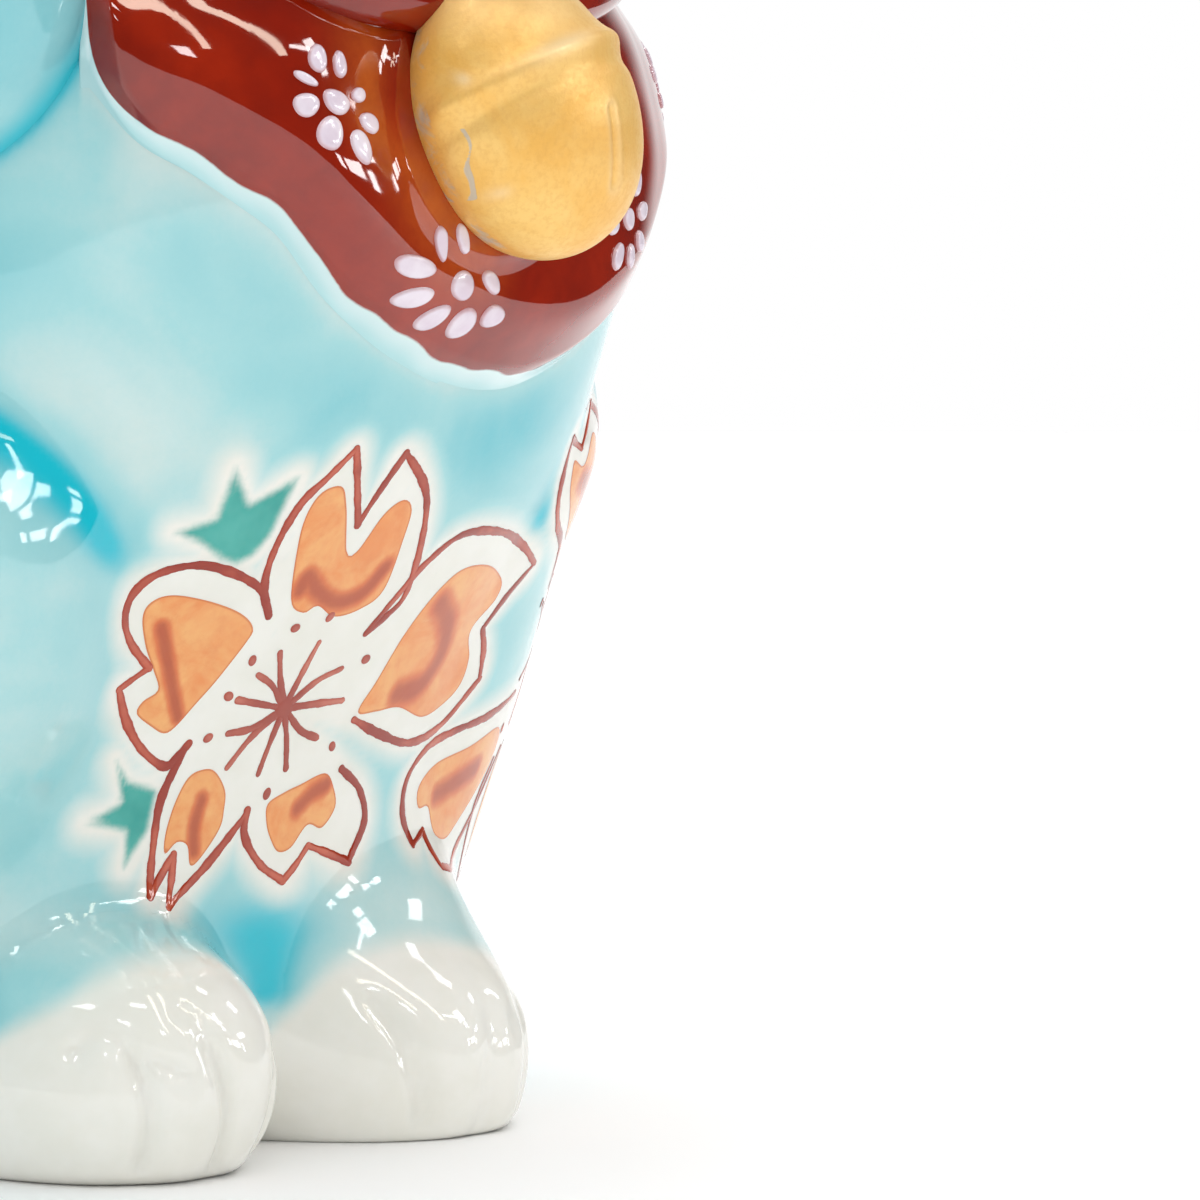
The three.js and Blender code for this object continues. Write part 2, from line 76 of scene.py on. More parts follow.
# torso stations: height, half width, depth to the front, depth to the back (mm)
TORSO = np.array([
    [0.0, 27.0, 18.0, 27.0], [1.2, 29.6, 20.4, 29.6], [4.0, 31.6, 22.0, 31.6],
    [10.0, 33.0, 23.2, 33.0], [16.8, 33.4, 24.6, 34.0], [24.4, 33.6, 26.4, 35.0],
    [32.7, 34.2, 29.8, 35.4], [41.0, 35.4, 34.4, 35.0], [49.2, 36.8, 38.6, 34.0],
    [58.0, 38.0, 41.7, 32.5], [66.0, 38.2, 42.9, 30.5], [74.0, 36.2, 41.2, 28.0],
    [78.0, 33.6, 38.0, 26.4], [81.0, 30.2, 33.6, 24.8], [84.0, 24.6, 26.6, 22.6]])
FA, FF, FB = [hermite(TORSO[:, 0], TORSO[:, k]) for k in (1, 2, 3)]
POWER = 2.3
NECK_Z = 84.0


def torso_r(phi, z, grow=0.0):
    a = FA(z) + grow
    b = np.where(np.cos(phi) > 0, FF(z), FB(z)) + grow
    return 1 / (np.abs(np.sin(phi) / a) ** POWER + np.abs(np.cos(phi) / b) ** POWER) ** (1 / POWER)


def haunch(phi, z):
    """how far the thighs stand out, and the ellipse that bounds them; the right one is the fuller"""
    ang = np.degrees(np.arctan2(np.sin(phi), np.cos(phi)))
    p = np.abs(ang)
    q = ((p - 82) / 51.2) ** 2 + ((z - 34.3) / np.where((z < 34.3) & (ang > 0), 26.0, 21.5)) ** 2
    t = np.clip((p - 50) / 45, 0, 1)
    side = t * t * (3 - 2 * t)
    # the glaze rounds out the crease; towards the front the thigh runs into the belly without one
    h = ((1 - q) + np.sqrt((1 - q) ** 2 + 0.006)) / 2
    left = (5.3 - 1.1 * t) * h ** (0.62 + 0.75 * sstep(45.0, 35.0, z)) * (1 + 0.7 * side)
    right = 5.5 * sstep(0.0, 0.5, h) + 1.2 * h + 1.5 * side * h + 0.9 * (1 - np.exp(-h / 0.06)) * sstep(37.0, 43.0, z)
    right = right + (8.0 * h ** 0.55 - right) * sstep(-52.0, -66.0, ang)
    # its knee
    right = right + 3.2 * np.exp(-(((ang + 50.0) / 14.0) ** 2) - ((z - 32.0) / 8.5) ** 2)
    return np.where(ang < 0, right, left), np.sqrt(q)


def body_r(phi, z):
    return torso_r(phi, z) + haunch(phi, z)[0]


PAW = dict(x=13.2, y=-19.0, z=6.4, a=10.6, b=15.0, c=10.0)
# grooves between the toes, (degrees, height), and how deep and wide they are (mm)
TOES = (
    ([(-37.6, 8.9), (-36.6, 9.5), (-34.8, 9.8), (-32.8, 9.1), (-31.5, 7.3), (-30.9, 5.6), (-30.7, 3.9), (-31.1, 1.6)], 0.66, 0.55),
    ([(-32.4, 8.9), (-29.9, 8.1), (-27.2, 7.3)], 0.30, 0.5),
    ([(-26.9, 11.2), (-25.2, 10.5), (-24.2, 8.9), (-22.9, 6.8), (-22.1, 4.8), (-22.0, 3.2), (-22.3, 1.2)], 0.72, 0.55),
    ([(-11.8, 9.4), (-12.6, 7.6), (-13.2, 6.0), (-14.0, 4.2), (-15.2, 1.6)], 0.70, 0.6))


def toe_grooves(phi, z):
    u = np.degrees(phi)
    out = np.zeros(u.shape)
    for line, depth, width in TOES:
        for s in (1, -1):
            pl = np.array(line) * np.array([s, 1.0])
            m = (u > pl[:, 0].min() - 6) & (u < pl[:, 0].max() + 6) & (z < 15)
            if not m.any():
                continue
            sc = np.array([0.60, 1.0])
            d = path_distance(np.stack([u[m], z[m]], -1) * sc, spline(pl, step=0.5, scale=(0.6, 1.0)) * sc)
            # the grooves start shallow on the instep; the left foot's outer ones are fainter
            fade = 0.35 + 0.65 * sstep(10.2, 7.6, z[m])
            if s < 0 and abs(pl[0, 0]) > 20:
                fade, width = 0.5 * fade, 1.0
            out[m] = np.maximum(out[m], fade * (depth * np.exp(-((d / width) ** 2)) + 0.34 * np.exp(-((d / 1.7) ** 2))))
    return out


def blob(x, y, z, a, b, c, n, low=1.0):
    z = np.where(z < 0, z * low, z)
    return ((np.abs(x / a) ** n + np.abs(y / b) ** n + np.abs(z / c) ** n) ** (1 / n) - 1) * 11.0


def paw_field(side, x, y, z):
    if side < 0:
        Z = z - PAW["z"]
        X = (x + PAW["x"]) / (1 - 0.016 * np.clip(Z, 0, 12))
        Y = y - PAW["y"]
        inst = 1 + 0.22 * np.clip((Y + 6) / 14, 0, 1)
        return blob(X, Y, np.where(Z > 0, Z / inst, Z), PAW["a"], PAW["b"], PAW["c"], 2.25)
    # the left foot: toes in front, a broad instep behind
    toe = blob(x - 13.0, y + 18.4, z - 5.0, 10.4, 14.4, 8.4, 2.2, 0.75)
    instep = blob(x - 11.5, y + 15.6, z - 9.2, 12.0, 10.4, 11.0, 2.5)
    return -2.6 * np.logaddexp(-toe / 2.6, -instep / 2.6) + 0.25


def skin_fields(r, phi, z, br):
    x = r * np.sin(phi)
    y = -r * np.cos(phi)
    return (r - br) * 0.9, paw_field(-1, x, y, z), paw_field(1, x, y, z)


def skin_r(phi, z, k=1.5):
    """outer radius of the body with the hind paws melted into it by the glaze"""
    phi, z = np.broadcast_arrays(np.asarray(phi, float), np.asarray(z, float))
    out = body_r(phi, z)
    near = (z < 31.0) & (np.cos(phi) > -0.1)
    if not near.any():
        return out
    p, zz, br = phi[near], z[near], out[near]

    def f(r):
        a, b, c = skin_fields(r, p, zz, br)
        return -k * np.log(np.exp(-np.clip(a, -60, 60) / k) + np.exp(-np.clip(b, -60, 60) / k)
                           + np.exp(-np.clip(c, -60, 60) / k))
    lo = np.full(p.shape, 10.0)
    hi = np.full(p.shape, 48.0)
    hit = np.zeros(p.shape, bool)
    for s in np.arange(47.0, 12.0, -0.5):
        new = (f(s) < 0) & ~hit
        lo = np.where(new, s, lo)
        hi = np.where(new, s + 0.5, hi)
        hit |= new
    for _ in range(15):
        m = (lo + hi) / 2
        v = f(m)
        lo = np.where(v < 0, m, lo)
        hi = np.where(v < 0, hi, m)
    res = (lo + hi) / 2
    # softly rounded lower edge of the toes
    e = np.clip(1 - zz / 1.1, 0, 1)
    over = np.clip((res - br) / 3.0, 0, 1)
    out = out.copy()
    out[near] = res - over * 0.9 * (1 - np.sqrt(np.clip(1 - e * e, 0, 1))) - toe_grooves(p, zz) * over
    return out


def polar(phi, z, r):
    return np.stack([r * np.sin(phi), -r * np.cos(phi), z + 0 * r], -1)


def on_body(u, v):
    phi = np.radians(u)
    return polar(phi, np.asarray(v, float), skin_r(phi, v))


BIB = dict(angle=8.0, right=46.3, left=40.0, offset=0.3, thick=2.3)
LOW_R = hermite([0, 2.0, 4.8, 11.9, 18.7, 25.1, 29.5, 33.3, 37.1, 42.3, 45.5],
                [49.7, 49.75, 50.0, 51.3, 53.4, 56.6, 60.0, 61.9, 63.7, 66.1, 69.0])
LOW_L = hermite([0, 2.0, 4.8, 11.0, 17.2, 23.0, 28.0, 32.0, 36.5, 39.5],
                [49.7, 49.72, 50.0, 51.3, 53.4, 56.4, 59.6, 62.6, 66.1, 69.0])


def bib_half(u):
    return np.where(np.asarray(u, float) < BIB["angle"], BIB["right"], BIB["left"])


def bib_low(u):
    d = np.asarray(u, float) - BIB["angle"]
    return np.where(d < 0, LOW_R(np.clip(-d, 0, 45.5)), LOW_L(np.clip(d, 0, 39.5)))



def collar_z(phi):
    p = np.degrees(np.arctan2(np.sin(phi), np.cos(phi)))
    return 74.2 + 5.5 * (1 - np.exp(-((p / 30.0) ** 2)))


def on_bib(u, v):
    phi = np.radians(u)
    return polar(phi, np.asarray(v, float), torso_r(phi, v) + BIB["offset"] + BIB["thick"])


# ------------------------------------------------------------------ mesh tools
def grid_faces(rows, cols, wrap=True):
    i = np.arange(rows - 1)[:, None]
    j = np.arange(cols if wrap else cols - 1)[None, :]
    a = i * cols + j
    b = i * cols + (j + 1) % cols
    return np.stack([a, b, b + cols, a + cols], -1).reshape(-1, 4)


def vertex_normals(v, quads):
    a, b, c, d = [v[quads[:, k]] for k in range(4)]
    n = np.cross(c - a, d - b)
    out = np.zeros_like(v)
    for k in range(4):
        np.add.at(out, quads[:, k], n)
    return out / (np.linalg.norm(out, axis=1, keepdims=True) + 1e-12)


def add_mesh(name, verts, faces, mat, body="figure", nodes=(), floats=None, normals=None, flip=False):
    """verts in mm about the body axis; faces an array of quads/triangles or a list"""
    me = bpy.data.meshes.new(name)
    v = (np.asarray(verts, float) + AXIS) * 0.001
    if isinstance(faces, np.ndarray):
        f = faces[:, ::-1] if flip else faces
        n, k = f.shape
        me.vertices.add(len(v))
        me.vertices.foreach_set("co", v.astype(np.float32).ravel())
        me.loops.add(n * k)
        me.loops.foreach_set("vertex_index", f.astype(np.int32).ravel())
        me.polygons.add(n)
        me.polygons.foreach_set("loop_start", (np.arange(n) * k).astype(np.int32))
        me.polygons.foreach_set("loop_total", np.full(n, k, np.int32))
        me.update(calc_edges=True)
    else:
        me.from_pydata(v.tolist(), [], [list(reversed(f)) if flip else list(f) for f in faces])
        me.update()
    for key, val in (floats or {}).items():
        at = me.attributes.new(key, "FLOAT", "POINT")
        at.data.foreach_set("value", np.asarray(val, np.float32).ravel())
    me.validate(clean_customdata=False)
    me.polygons.foreach_set("use_smooth", np.ones(len(me.polygons), bool))
    if normals is not None and len(me.vertices) == len(v):
        me.normals_split_custom_set_from_vertices((-normals if flip else normals).tolist())
    ob = bpy.data.objects.new(name, me)
    bpy.context.scene.collection.objects.link(ob)
    me.materials.append(mat)
    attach(ob, body)
    if nodes:
        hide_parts(*nodes)
    return ob


def compact(verts, faces, *arrays):
    used = np.unique(faces)
    remap = np.full(len(verts), -1)
    remap[used] = np.arange(len(used))
    return (verts[used], remap[faces]) + tuple(a[used] for a in arrays)


def limb(stations, ref=(0, -1, 0), flat=(1, 1), around=56, along=80, cap=14, shape=None):
    st = np.array(stations, float)
    ts = np.linspace(0, 1, len(st))
    fx = [hermite(ts, st[:, k]) for k in range(4)]
    at = lambda t: np.array([fx[0](t), fx[1](t), fx[2](t)], float)
    rings = []

    def tan(t):
        d = at(min(1, t + 0.01)) - at(max(0, t - 0.01))
        return d / np.linalg.norm(d)

    def ring(c, t, r, s):
        T = tan(t)
        e1 = np.array(ref, float)
        e1 = e1 - T * e1.dot(T)
        e1 /= np.linalg.norm(e1)
        rings.append((c, r, e1, np.cross(T, e1), s))
    fm = min(flat)
    r0, r1 = float(fx[3](0)), float(fx[3](1))
    for i in range(cap + 1):
        a = -math.pi / 2 + math.pi / 2 * i / cap
        ring(at(0) + tan(0) * r0 * fm * math.sin(a), 0, 1e-4 if i == 0 else r0 * math.cos(a), -(1 - math.cos(a + math.pi / 2)) * 0.0)
    for i in range(1, along):
        ring(at(i / along), i / along, float(fx[3](i / along)), i / along)
    for i in range(cap + 1):
        a = math.pi / 2 * i / cap
        ring(at(1) + tan(1) * r1 * fm * math.sin(a), 1, 1e-4 if i == cap else r1 * math.cos(a), 1 + i / cap * 0.2)
    w = np.linspace(0, 2 * math.pi, around, endpoint=False)
    P, S, W = [], [], []
    for c, r, e1, e2, s in rings:
        rr = r * np.ones_like(w)
        if shape is not None:
            rr = rr + shape(w, s) * min(1.0, r / 3.0)
        P.append(c + e1 * (rr * flat[1] * np.cos(w))[:, None] + e2 * (rr * flat[0] * np.sin(w))[:, None])
        S.append(np.full(around, s))
        W.append(w)
    return np.concatenate(P), grid_faces(len(rings), around), np.concatenate(S), np.concatenate(W)


def limb_distance(stations, p):
    """distance of points from the surface of a limb"""
    st = np.array(stations, float)
    ts = np.linspace(0, 1, len(st))
    fx = [hermite(ts, st[:, k]) for k in range(4)]
    t = np.linspace(0, 1, 60)
    c = np.stack([fx[k](t) for k in range(3)], -1)
    r = fx[3](t)
    d = np.linalg.norm(p[:, None, :] - c[None], axis=2) - r[None]
    return d.min(1)


def spline(pts, corners=(), step=0.35, scale=(1.0, 1.0), closed=False):
    """smooth path through points in surface coordinates, sharp at the corners"""
    pts = np.asarray(pts, float)
    n = len(pts)
    cuts = [0] + [c for c in corners] + [n - 1]
    out = []
    if closed:
        ext = np.concatenate([pts[-2:], pts, pts[:2]])
        for i in range(n):
            out.append(_cr(ext[i + 1], ext[i + 2], ext[i + 3], ext[i + 4] if i + 4 < len(ext) else pts[(i + 2) % n], scale, step))
        return np.concatenate(out)
    for a, b in zip(cuts[:-1], cuts[1:]):
        seg = pts[a:b + 1]
        ext = np.concatenate([[2 * seg[0] - seg[1]], seg, [2 * seg[-1] - seg[-2]]])
        for i in range(len(seg) - 1):
            out.append(_cr(ext[i], ext[i + 1], ext[i + 2], ext[i + 3], scale, step))
    out.append(pts[-1:])
    return np.concatenate(out)


def _cr(p0, p1, p2, p3, scale, step):
    length = np.linalg.norm((p2 - p1) * np.array(scale))
    k = max(2, int(math.ceil(length / step)))
    t = (np.arange(k) / k)[:, None]
    return 0.5 * (2 * p1 + (p2 - p0) * t + (2 * p0 - 5 * p1 + 4 * p2 - p3) * t * t
                  + (3 * p1 - p0 - 3 * p2 + p3) * t ** 3)


def normals_on(surf, u, v):
    du = surf(u + 0.15, v) - surf(u - 0.15, v)
    dv = surf(u, v + 0.1) - surf(u, v - 0.1)
    n = np.cross(du, dv)
    return n / (np.linalg.norm(n, axis=1, keepdims=True) + 1e-12)


class Paint:
    """collects thin enamel strokes and washes that lie on a surface"""

    def __init__(self):
        self.v, self.f, self.at = [], [], {}
        self.count = 0

    def _push(self, v, f, **at):
        self.f += [[i + self.count for i in q] for q in f]
        self.v.append(v)
        for k, a in at.items():
            self.at.setdefault(k, []).append(np.broadcast_to(np.asarray(a, float), (len(v),)))
        self.count += len(v)

    def stroke(self, surf, path, width, lift=0.05, taper=(0.6, 0.6), seed=0.0, across=7):
        """path in surface coordinates; brush line with round ends and a pressure that varies"""
        path = np.asarray(path, float)
        P = surf(path[:, 0], path[:, 1])
        N = normals_on(surf, path[:, 0], path[:, 1])
        seg = np.linalg.norm(np.diff(P, axis=0), axis=1)
        s = np.concatenate([[0], np.cumsum(seg)])
        T = np.gradient(P, axis=0)
        T /= np.linalg.norm(T, axis=1, keepdims=True) + 1e-12
        B = np.cross(N, T)
        w = width * (1 + 0.13 * np.sin(s * 0.9 + seed) + 0.07 * np.sin(s * 2.7 + 2.1 * seed))
        w = w * (taper[0] + (1 - taper[0]) * sstep(0, 2.2, s)) * (taper[1] + (1 - taper[1]) * sstep(0, 2.2, s[-1] - s))
        # round ends
        extra = 5
        a = np.linspace(math.pi / 2, 0, extra, endpoint=False)
        head = [(P[0] - T[0] * w[0] / 2 * math.sin(x), B[0], N[0], w[0] * max(math.cos(x), 0.02), 0.0) for x in a]
        mid = [(P[i], B[i], N[i], w[i], s[i]) for i in range(len(P))]
        tail = [(P[-1] + T[-1] * w[-1] / 2 * math.sin(x), B[-1], N[-1], w[-1] * max(math.cos(x), 0.02), s[-1]) for x in a[::-1]]
        rows = head + mid + tail
        o = np.linspace(-1, 1, across)
        V, A, S = [], [], []
        for i, (p, b, n, ww, ss) in enumerate(rows):
            jit = 1 + 0.05 * math.sin(ss * 5.3 + seed * 3) + 0.035 * math.sin(ss * 11.1 + seed)
            V.append(p + b * (o * ww / 2 * jit)[:, None] + n * (lift * (0.30 + 0.70 * np.sqrt(np.clip(1 - o * o, 0, 1))))[:, None])
            A.append(np.abs(o))
            S.append(np.full(across, ss))
        V = np.concatenate(V)
        self._push(V, grid_faces(len(rows), across, wrap=False)[:, ::-1].tolist(),
                   edge=1 - np.concatenate(A), along=np.concatenate(S) + seed * 7.0, dark=0.0)

    def dot(self, surf, u, v, r, lift=0.06, squash=1.0, tilt=0.0):
        c = surf(np.array([u]), np.array([v]))[0]
        n = normals_on(surf, np.array([u]), np.array([v]))[0]
        e1 = np.cross([0, 0, 1.0], n)
        e1 /= np.linalg.norm(e1)
        e2 = np.cross(n, e1)
        ca, sa = math.cos(tilt), math.sin(tilt)
        V, A = [c + n * lift], [1.0]
        ring = 20
        for k in range(1, 6):
            q = k / 5
            for j in range(ring):
                t = 2 * math.pi * j / ring
                x, y = q * r * math.cos(t), q * r * squash * math.sin(t)
                V.append(c + e1 * (x * ca - y * sa) + e2 * (x * sa + y * ca) + n * lift * (0.3 + 0.7 * math.sqrt(1 - q * q)))
                A.append(1 - q)
        F = [[0, 1 + j, 1 + (j + 1) % ring] for j in range(ring)]
        for k in range(4):
            for j in range(ring):
                a, b = 1 + k * ring + j, 1 + k * ring + (j + 1) % ring
                F.append([a, a + ring, b + ring, b])
        self._push(np.array(V), F, edge=np.array(A), along=u + v, dark=0.0)

    def fill(self, surf, outline, scale, lift=0.03, h=0.32, dark_path=None, reach=1.2, corners=(), closed=True):
        """wash inside a smooth closed outline; remembers the distance to its edge and to a darker brush pass"""
        sc = np.array(scale, float)
        line = spline(outline, step=h, scale=scale, closed=True) if closed else np.asarray(outline, float)
        pl = line * sc
        lo, hi = pl.min(0), pl.max(0)
        gx, gy = np.meshgrid(np.arange(lo[0] + h / 2, hi[0], h), np.arange(lo[1] + h / 2, hi[1], h))
        gx[1::2] += h / 2
        g = np.stack([gx.ravel(), gy.ravel()], -1)
        d = poly_distance(g, pl)
        g = g[inside(g, pl) & (d > h * 0.45)]
        co = [Vector(p) for p in pl] + [Vector(p) for p in g]
        res = delaunay_2d_cdt(co, [], [list(range(len(pl)))], 1, 1e-6)
        q = np.array([[p.x, p.y] for p in res[0]])
        uv = q / sc
        V = surf(uv[:, 0], uv[:, 1])
        N = normals_on(surf, uv[:, 0], uv[:, 1])
        e = poly_distance(q, pl)
        dk = np.zeros(len(q))
        if dark_path is not None:
            dp = spline(dark_path, step=h, scale=scale) * sc
            dk = np.exp(-((path_distance(q, dp) / reach) ** 2))
        V = V + N * (lift * (0.35 + 0.65 * sstep(0, 0.5, e)))[:, None]
        self._push(V, res[2], edge=e, along=uv[:, 1], dark=dk)
        return V

    def build(self, name, mat, slot, surf_body="figure"):
        ob = add_mesh(name, np.concatenate(self.v), self.f, mat, body=surf_body,
                      floats={k: np.concatenate(a) for k, a in self.at.items()})
        return ob


def path_distance(p, line):
    a, b = line[:-1], line[1:]
    out = np.full(len(p), 1e9)
    for s, e in zip(a, b):
        d = e - s
        t = np.clip(((p - s) @ d) / (d @ d + 1e-12), 0, 1)
        out = np.minimum(out, np.linalg.norm(p - s - t[:, None] * d, axis=1))
    return out


def poly_distance(p, poly):
    return path_distance(p, np.concatenate([poly, poly[:1]]))


def inside(p, poly):
    x, y = p[:, 0], p[:, 1]
    res = np.zeros(len(p), bool)
    q = np.concatenate([poly, poly[:1]])
    for (x1, y1), (x2, y2) in zip(q[:-1], q[1:]):
        c = (y1 > y) != (y2 > y)
        if y1 != y2:
            res ^= c & (x < (x2 - x1) * (y - y1) / (y2 - y1) + x1)
    return res


# ------------------------------------------------------------------ materials
def srgb(r, g, b):
    f = lambda c: ((c / 255.0) / 12.92 if c / 255.0 <= 0.04045 else ((c / 255.0 + 0.055) / 1.055) ** 2.4)
    return (f(r), f(g), f(b), 1.0)


class Nodes:
    def __init__(self, name):
        self.mat = bpy.data.materials.new(name)
        self.mat.use_nodes = True
        self.t = self.mat.node_tree
        self.bsdf = next(n for n in self.t.nodes if n.type == "BSDF_PRINCIPLED")

    def new(self, kind, **props):
        n = self.t.nodes.new(kind)
        for k, v in props.items():
            setattr(n, k, v)
        return n

    def link(self, a, b):
        self.t.links.new(a, b)

    def put(self, node, name, value):
        if hasattr(value, "node") and hasattr(value, "is_output"):
            self.link(value, node.inputs[name])
        else:
            node.inputs[name].default_value = value

    def attr(self, name):
        n = self.new("ShaderNodeAttribute")
        n.attribute_name = name
        return n.outputs["Fac"]

    def coords(self):
        return self.new("ShaderNodeTexCoord").outputs["Object"]

    def noise(self, scale, detail=3.0, rough=0.5, vec=None, distortion=0.0):
        n = self.new("ShaderNodeTexNoise")
        n.inputs["Scale"].default_value = scale
        n.inputs["Detail"].default_value = detail
        n.inputs["Roughness"].default_value = rough
        n.inputs["Distortion"].default_value = distortion
        self.link(vec if vec is not None else self.coords(), n.inputs["Vector"])
        return n.outputs["Fac"]

    def math(self, op, a, b=None, clamp=False):
        n = self.new("ShaderNodeMath", operation=op, use_clamp=clamp)
        for i, x in enumerate((a, b)):
            if x is None:
                continue
            if hasattr(x, "is_output"):
                self.link(x, n.inputs[i])
            else:
                n.inputs[i].default_value = x
        return n.outputs[0]

    def ramp(self, fac, a, b, lo=0.0, hi=1.0, kind="SMOOTHSTEP"):
        n = self.new("ShaderNodeMapRange", interpolation_type=kind, clamp=True)
        self.link(fac, n.inputs[0])
        n.inputs[1].default_value, n.inputs[2].default_value = a, b
        n.inputs[3].default_value, n.inputs[4].default_value = lo, hi
        return n.outputs[0]

    def mix(self, fac, a, b, blend="MIX"):
        n = self.new("ShaderNodeMix", data_type="RGBA", blend_type=blend)
        for s, x in ((n.inputs[0], fac), (n.inputs[6], a), (n.inputs[7], b)):
            if hasattr(x, "is_output"):
                self.link(x, s)
            else:
                s.default_value = x
        return n.outputs[2]

    def bump(self, height, strength, distance):
        n = self.new("ShaderNodeBump")
        n.inputs["Strength"].default_value = strength
        n.inputs["Distance"].default_value = distance
        self.link(height, n.inputs["Height"])
        self.link(n.outputs[0], self.bsdf.inputs["Normal"])


def glaze_common(m, coat=0.0, rough=0.055, wave=0.10, wave_scale=55.0):
    m.bsdf.inputs["IOR"].default_value = 1.52
    m.bsdf.inputs["Coat Weight"].default_value = coat
    m.bsdf.inputs["Coat Roughness"].default_value = 0.03
    grain = m.noise(900.0, 2.0, 0.6)
    m.put(m.bsdf, "Roughness", m.ramp(grain, 0.35, 0.75, rough, rough + 0.05))
    slow = m.noise(wave_scale, 2.0, 0.45)
    pits = m.noise(1400.0, 1.0, 0.5)
    h = m.math("ADD", m.math("MULTIPLY", slow, 1.0), m.math("MULTIPLY", m.ramp(pits, 0.72, 0.80), 0.03))
    m.bump(h, wave, 0.0016)


WHITE = srgb(238, 236, 230)


def mat_porcelain():
    m = Nodes("turquoise_glaze_porcelain")
    tq, pool, green, bare = m.attr("tq"), m.attr("pool"), m.attr("green"), m.attr("bare")
    co = m.coords()
    cloud = m.noise(58.0, 3.0, 0.55, co, 0.5)
    fine = m.noise(210.0, 3.0, 0.6, co)
    speck = m.noise(1700.0, 2.0, 0.7, co)
    # thickness of the sprayed glaze: clouds, and a fine speckle from the spray droplets
    thick = m.math("MULTIPLY", tq, m.ramp(cloud, 0.28, 0.72, 1.38, 0.62, "LINEAR"))
    thick = m.math("ADD", thick, m.math("MULTIPLY", m.math("SUBTRACT", speck, 0.5), m.math("MULTIPLY", m.ramp(tq, 0.0, 0.5), 0.14)))
    white = m.mix(m.ramp(fine, 0.3, 0.7, 0.0, 1.0), srgb(241, 240, 233), srgb(236, 235, 226))
    col = m.mix(m.ramp(thick, 0.0, 1.0, 0.0, 1.0, "LINEAR"), white, srgb(164, 216, 219))
    col = m.mix(m.ramp(thick, 1.0, 2.0, 0.0, 1.0, "LINEAR"), col, srgb(100, 194, 206))
    col = m.mix(m.ramp(pool, 0.02, 0.98, 0.0, 0.96), col, srgb(0, 192, 211))
    gcol = m.mix(m.ramp(fine, 0.3, 0.7), srgb(44, 158, 148), srgb(78, 179, 168))
    gs = m.math("ADD", green, m.math("MULTIPLY", m.math("SUBTRACT", speck, 0.5), 0.22))
    col = m.mix(m.ramp(gs, 0.12, 0.88), col, gcol)
    col = m.mix(bare, col, m.mix(m.ramp(fine, 0.3, 0.7), srgb(226, 219, 204), srgb(208, 199, 182)))
    m.put(m.bsdf, "Base Color", col)
    m.bsdf.inputs["IOR"].default_value = 1.52
    grain = m.noise(900.0, 2.0, 0.6, co)
    gloss = m.ramp(grain, 0.35, 0.75, 0.045, 0.085)
    n = m.new("ShaderNodeMix", data_type="FLOAT")
    m.link(bare, n.inputs[0])
    m.link(gloss, n.inputs[2])
    n.inputs[3].default_value = 0.75
    m.link(n.outputs[0], m.bsdf.inputs["Roughness"])
    slow = m.noise(60.0, 2.0, 0.45, co)
    pits = m.ramp(m.noise(1400.0, 1.0, 0.5, co), 0.72, 0.80, 0.0, 0.03)
    m.bump(m.math("ADD", slow, pits), 0.07, 0.0016)
    m.bsdf.inputs["Subsurface Weight"].default_value = 0.10
    m.bsdf.inputs["Subsurface Radius"].default_value = (1.0, 0.9, 0.8)
    m.bsdf.inputs["Subsurface Scale"].default_value = 0.0015
    return m.mat


def mat_red(name="red_enamel", rim=True):
    m = Nodes(name)
    co = m.coords()
    cloud = m.noise(70.0, 3.0, 0.6, co, 0.6)
    fine = m.noise(420.0, 4.0, 0.6, co, 0.3)
    col = m.mix(m.ramp(cloud, 0.35, 0.68), srgb(135, 24, 5), srgb(160, 36, 8))
    col = m.mix(m.ramp(fine, 0.30, 0.72, 0.0, 0.40), col, srgb(120, 22, 5))
    if rim:
        # thin carries a painted reflection of the gilded bell, mixed in as orange-brown
        col = m.mix(m.math("MULTIPLY", m.attr("thin"), m.ramp(fine, 0.3, 0.7, 0.85, 0.55)), col, srgb(186, 82, 26))
        r = m.attr("rim")
        edge = m.math("ADD", r, m.math("MULTIPLY", m.math("SUBTRACT", fine, 0.5), 0.08))
        pale = m.mix(m.ramp(r, 0.52, 1.0), srgb(216, 238, 239), srgb(176, 221, 224))
        col = m.mix(m.ramp(edge, 0.47, 0.53), col, pale)
    m.put(m.bsdf, "Base Color", col)
    m.bsdf.inputs["IOR"].default_value = 1.62
    m.bsdf.inputs["Coat Weight"].default_value = 0.25
    m.bsdf.inputs["Coat Roughness"].default_value = 0.03
    m.put(m.bsdf, "Roughness", m.ramp(fine, 0.35, 0.75, 0.035, 0.07))
    slow = m.noise(85.0, 2.0, 0.45, co)
    drag = m.noise(520.0, 2.0, 0.5, co, 0.5)
    m.bump(m.math("ADD", slow, m.math("MULTIPLY", drag, 0.05)), 0.10, 0.0014)
    return m.mat


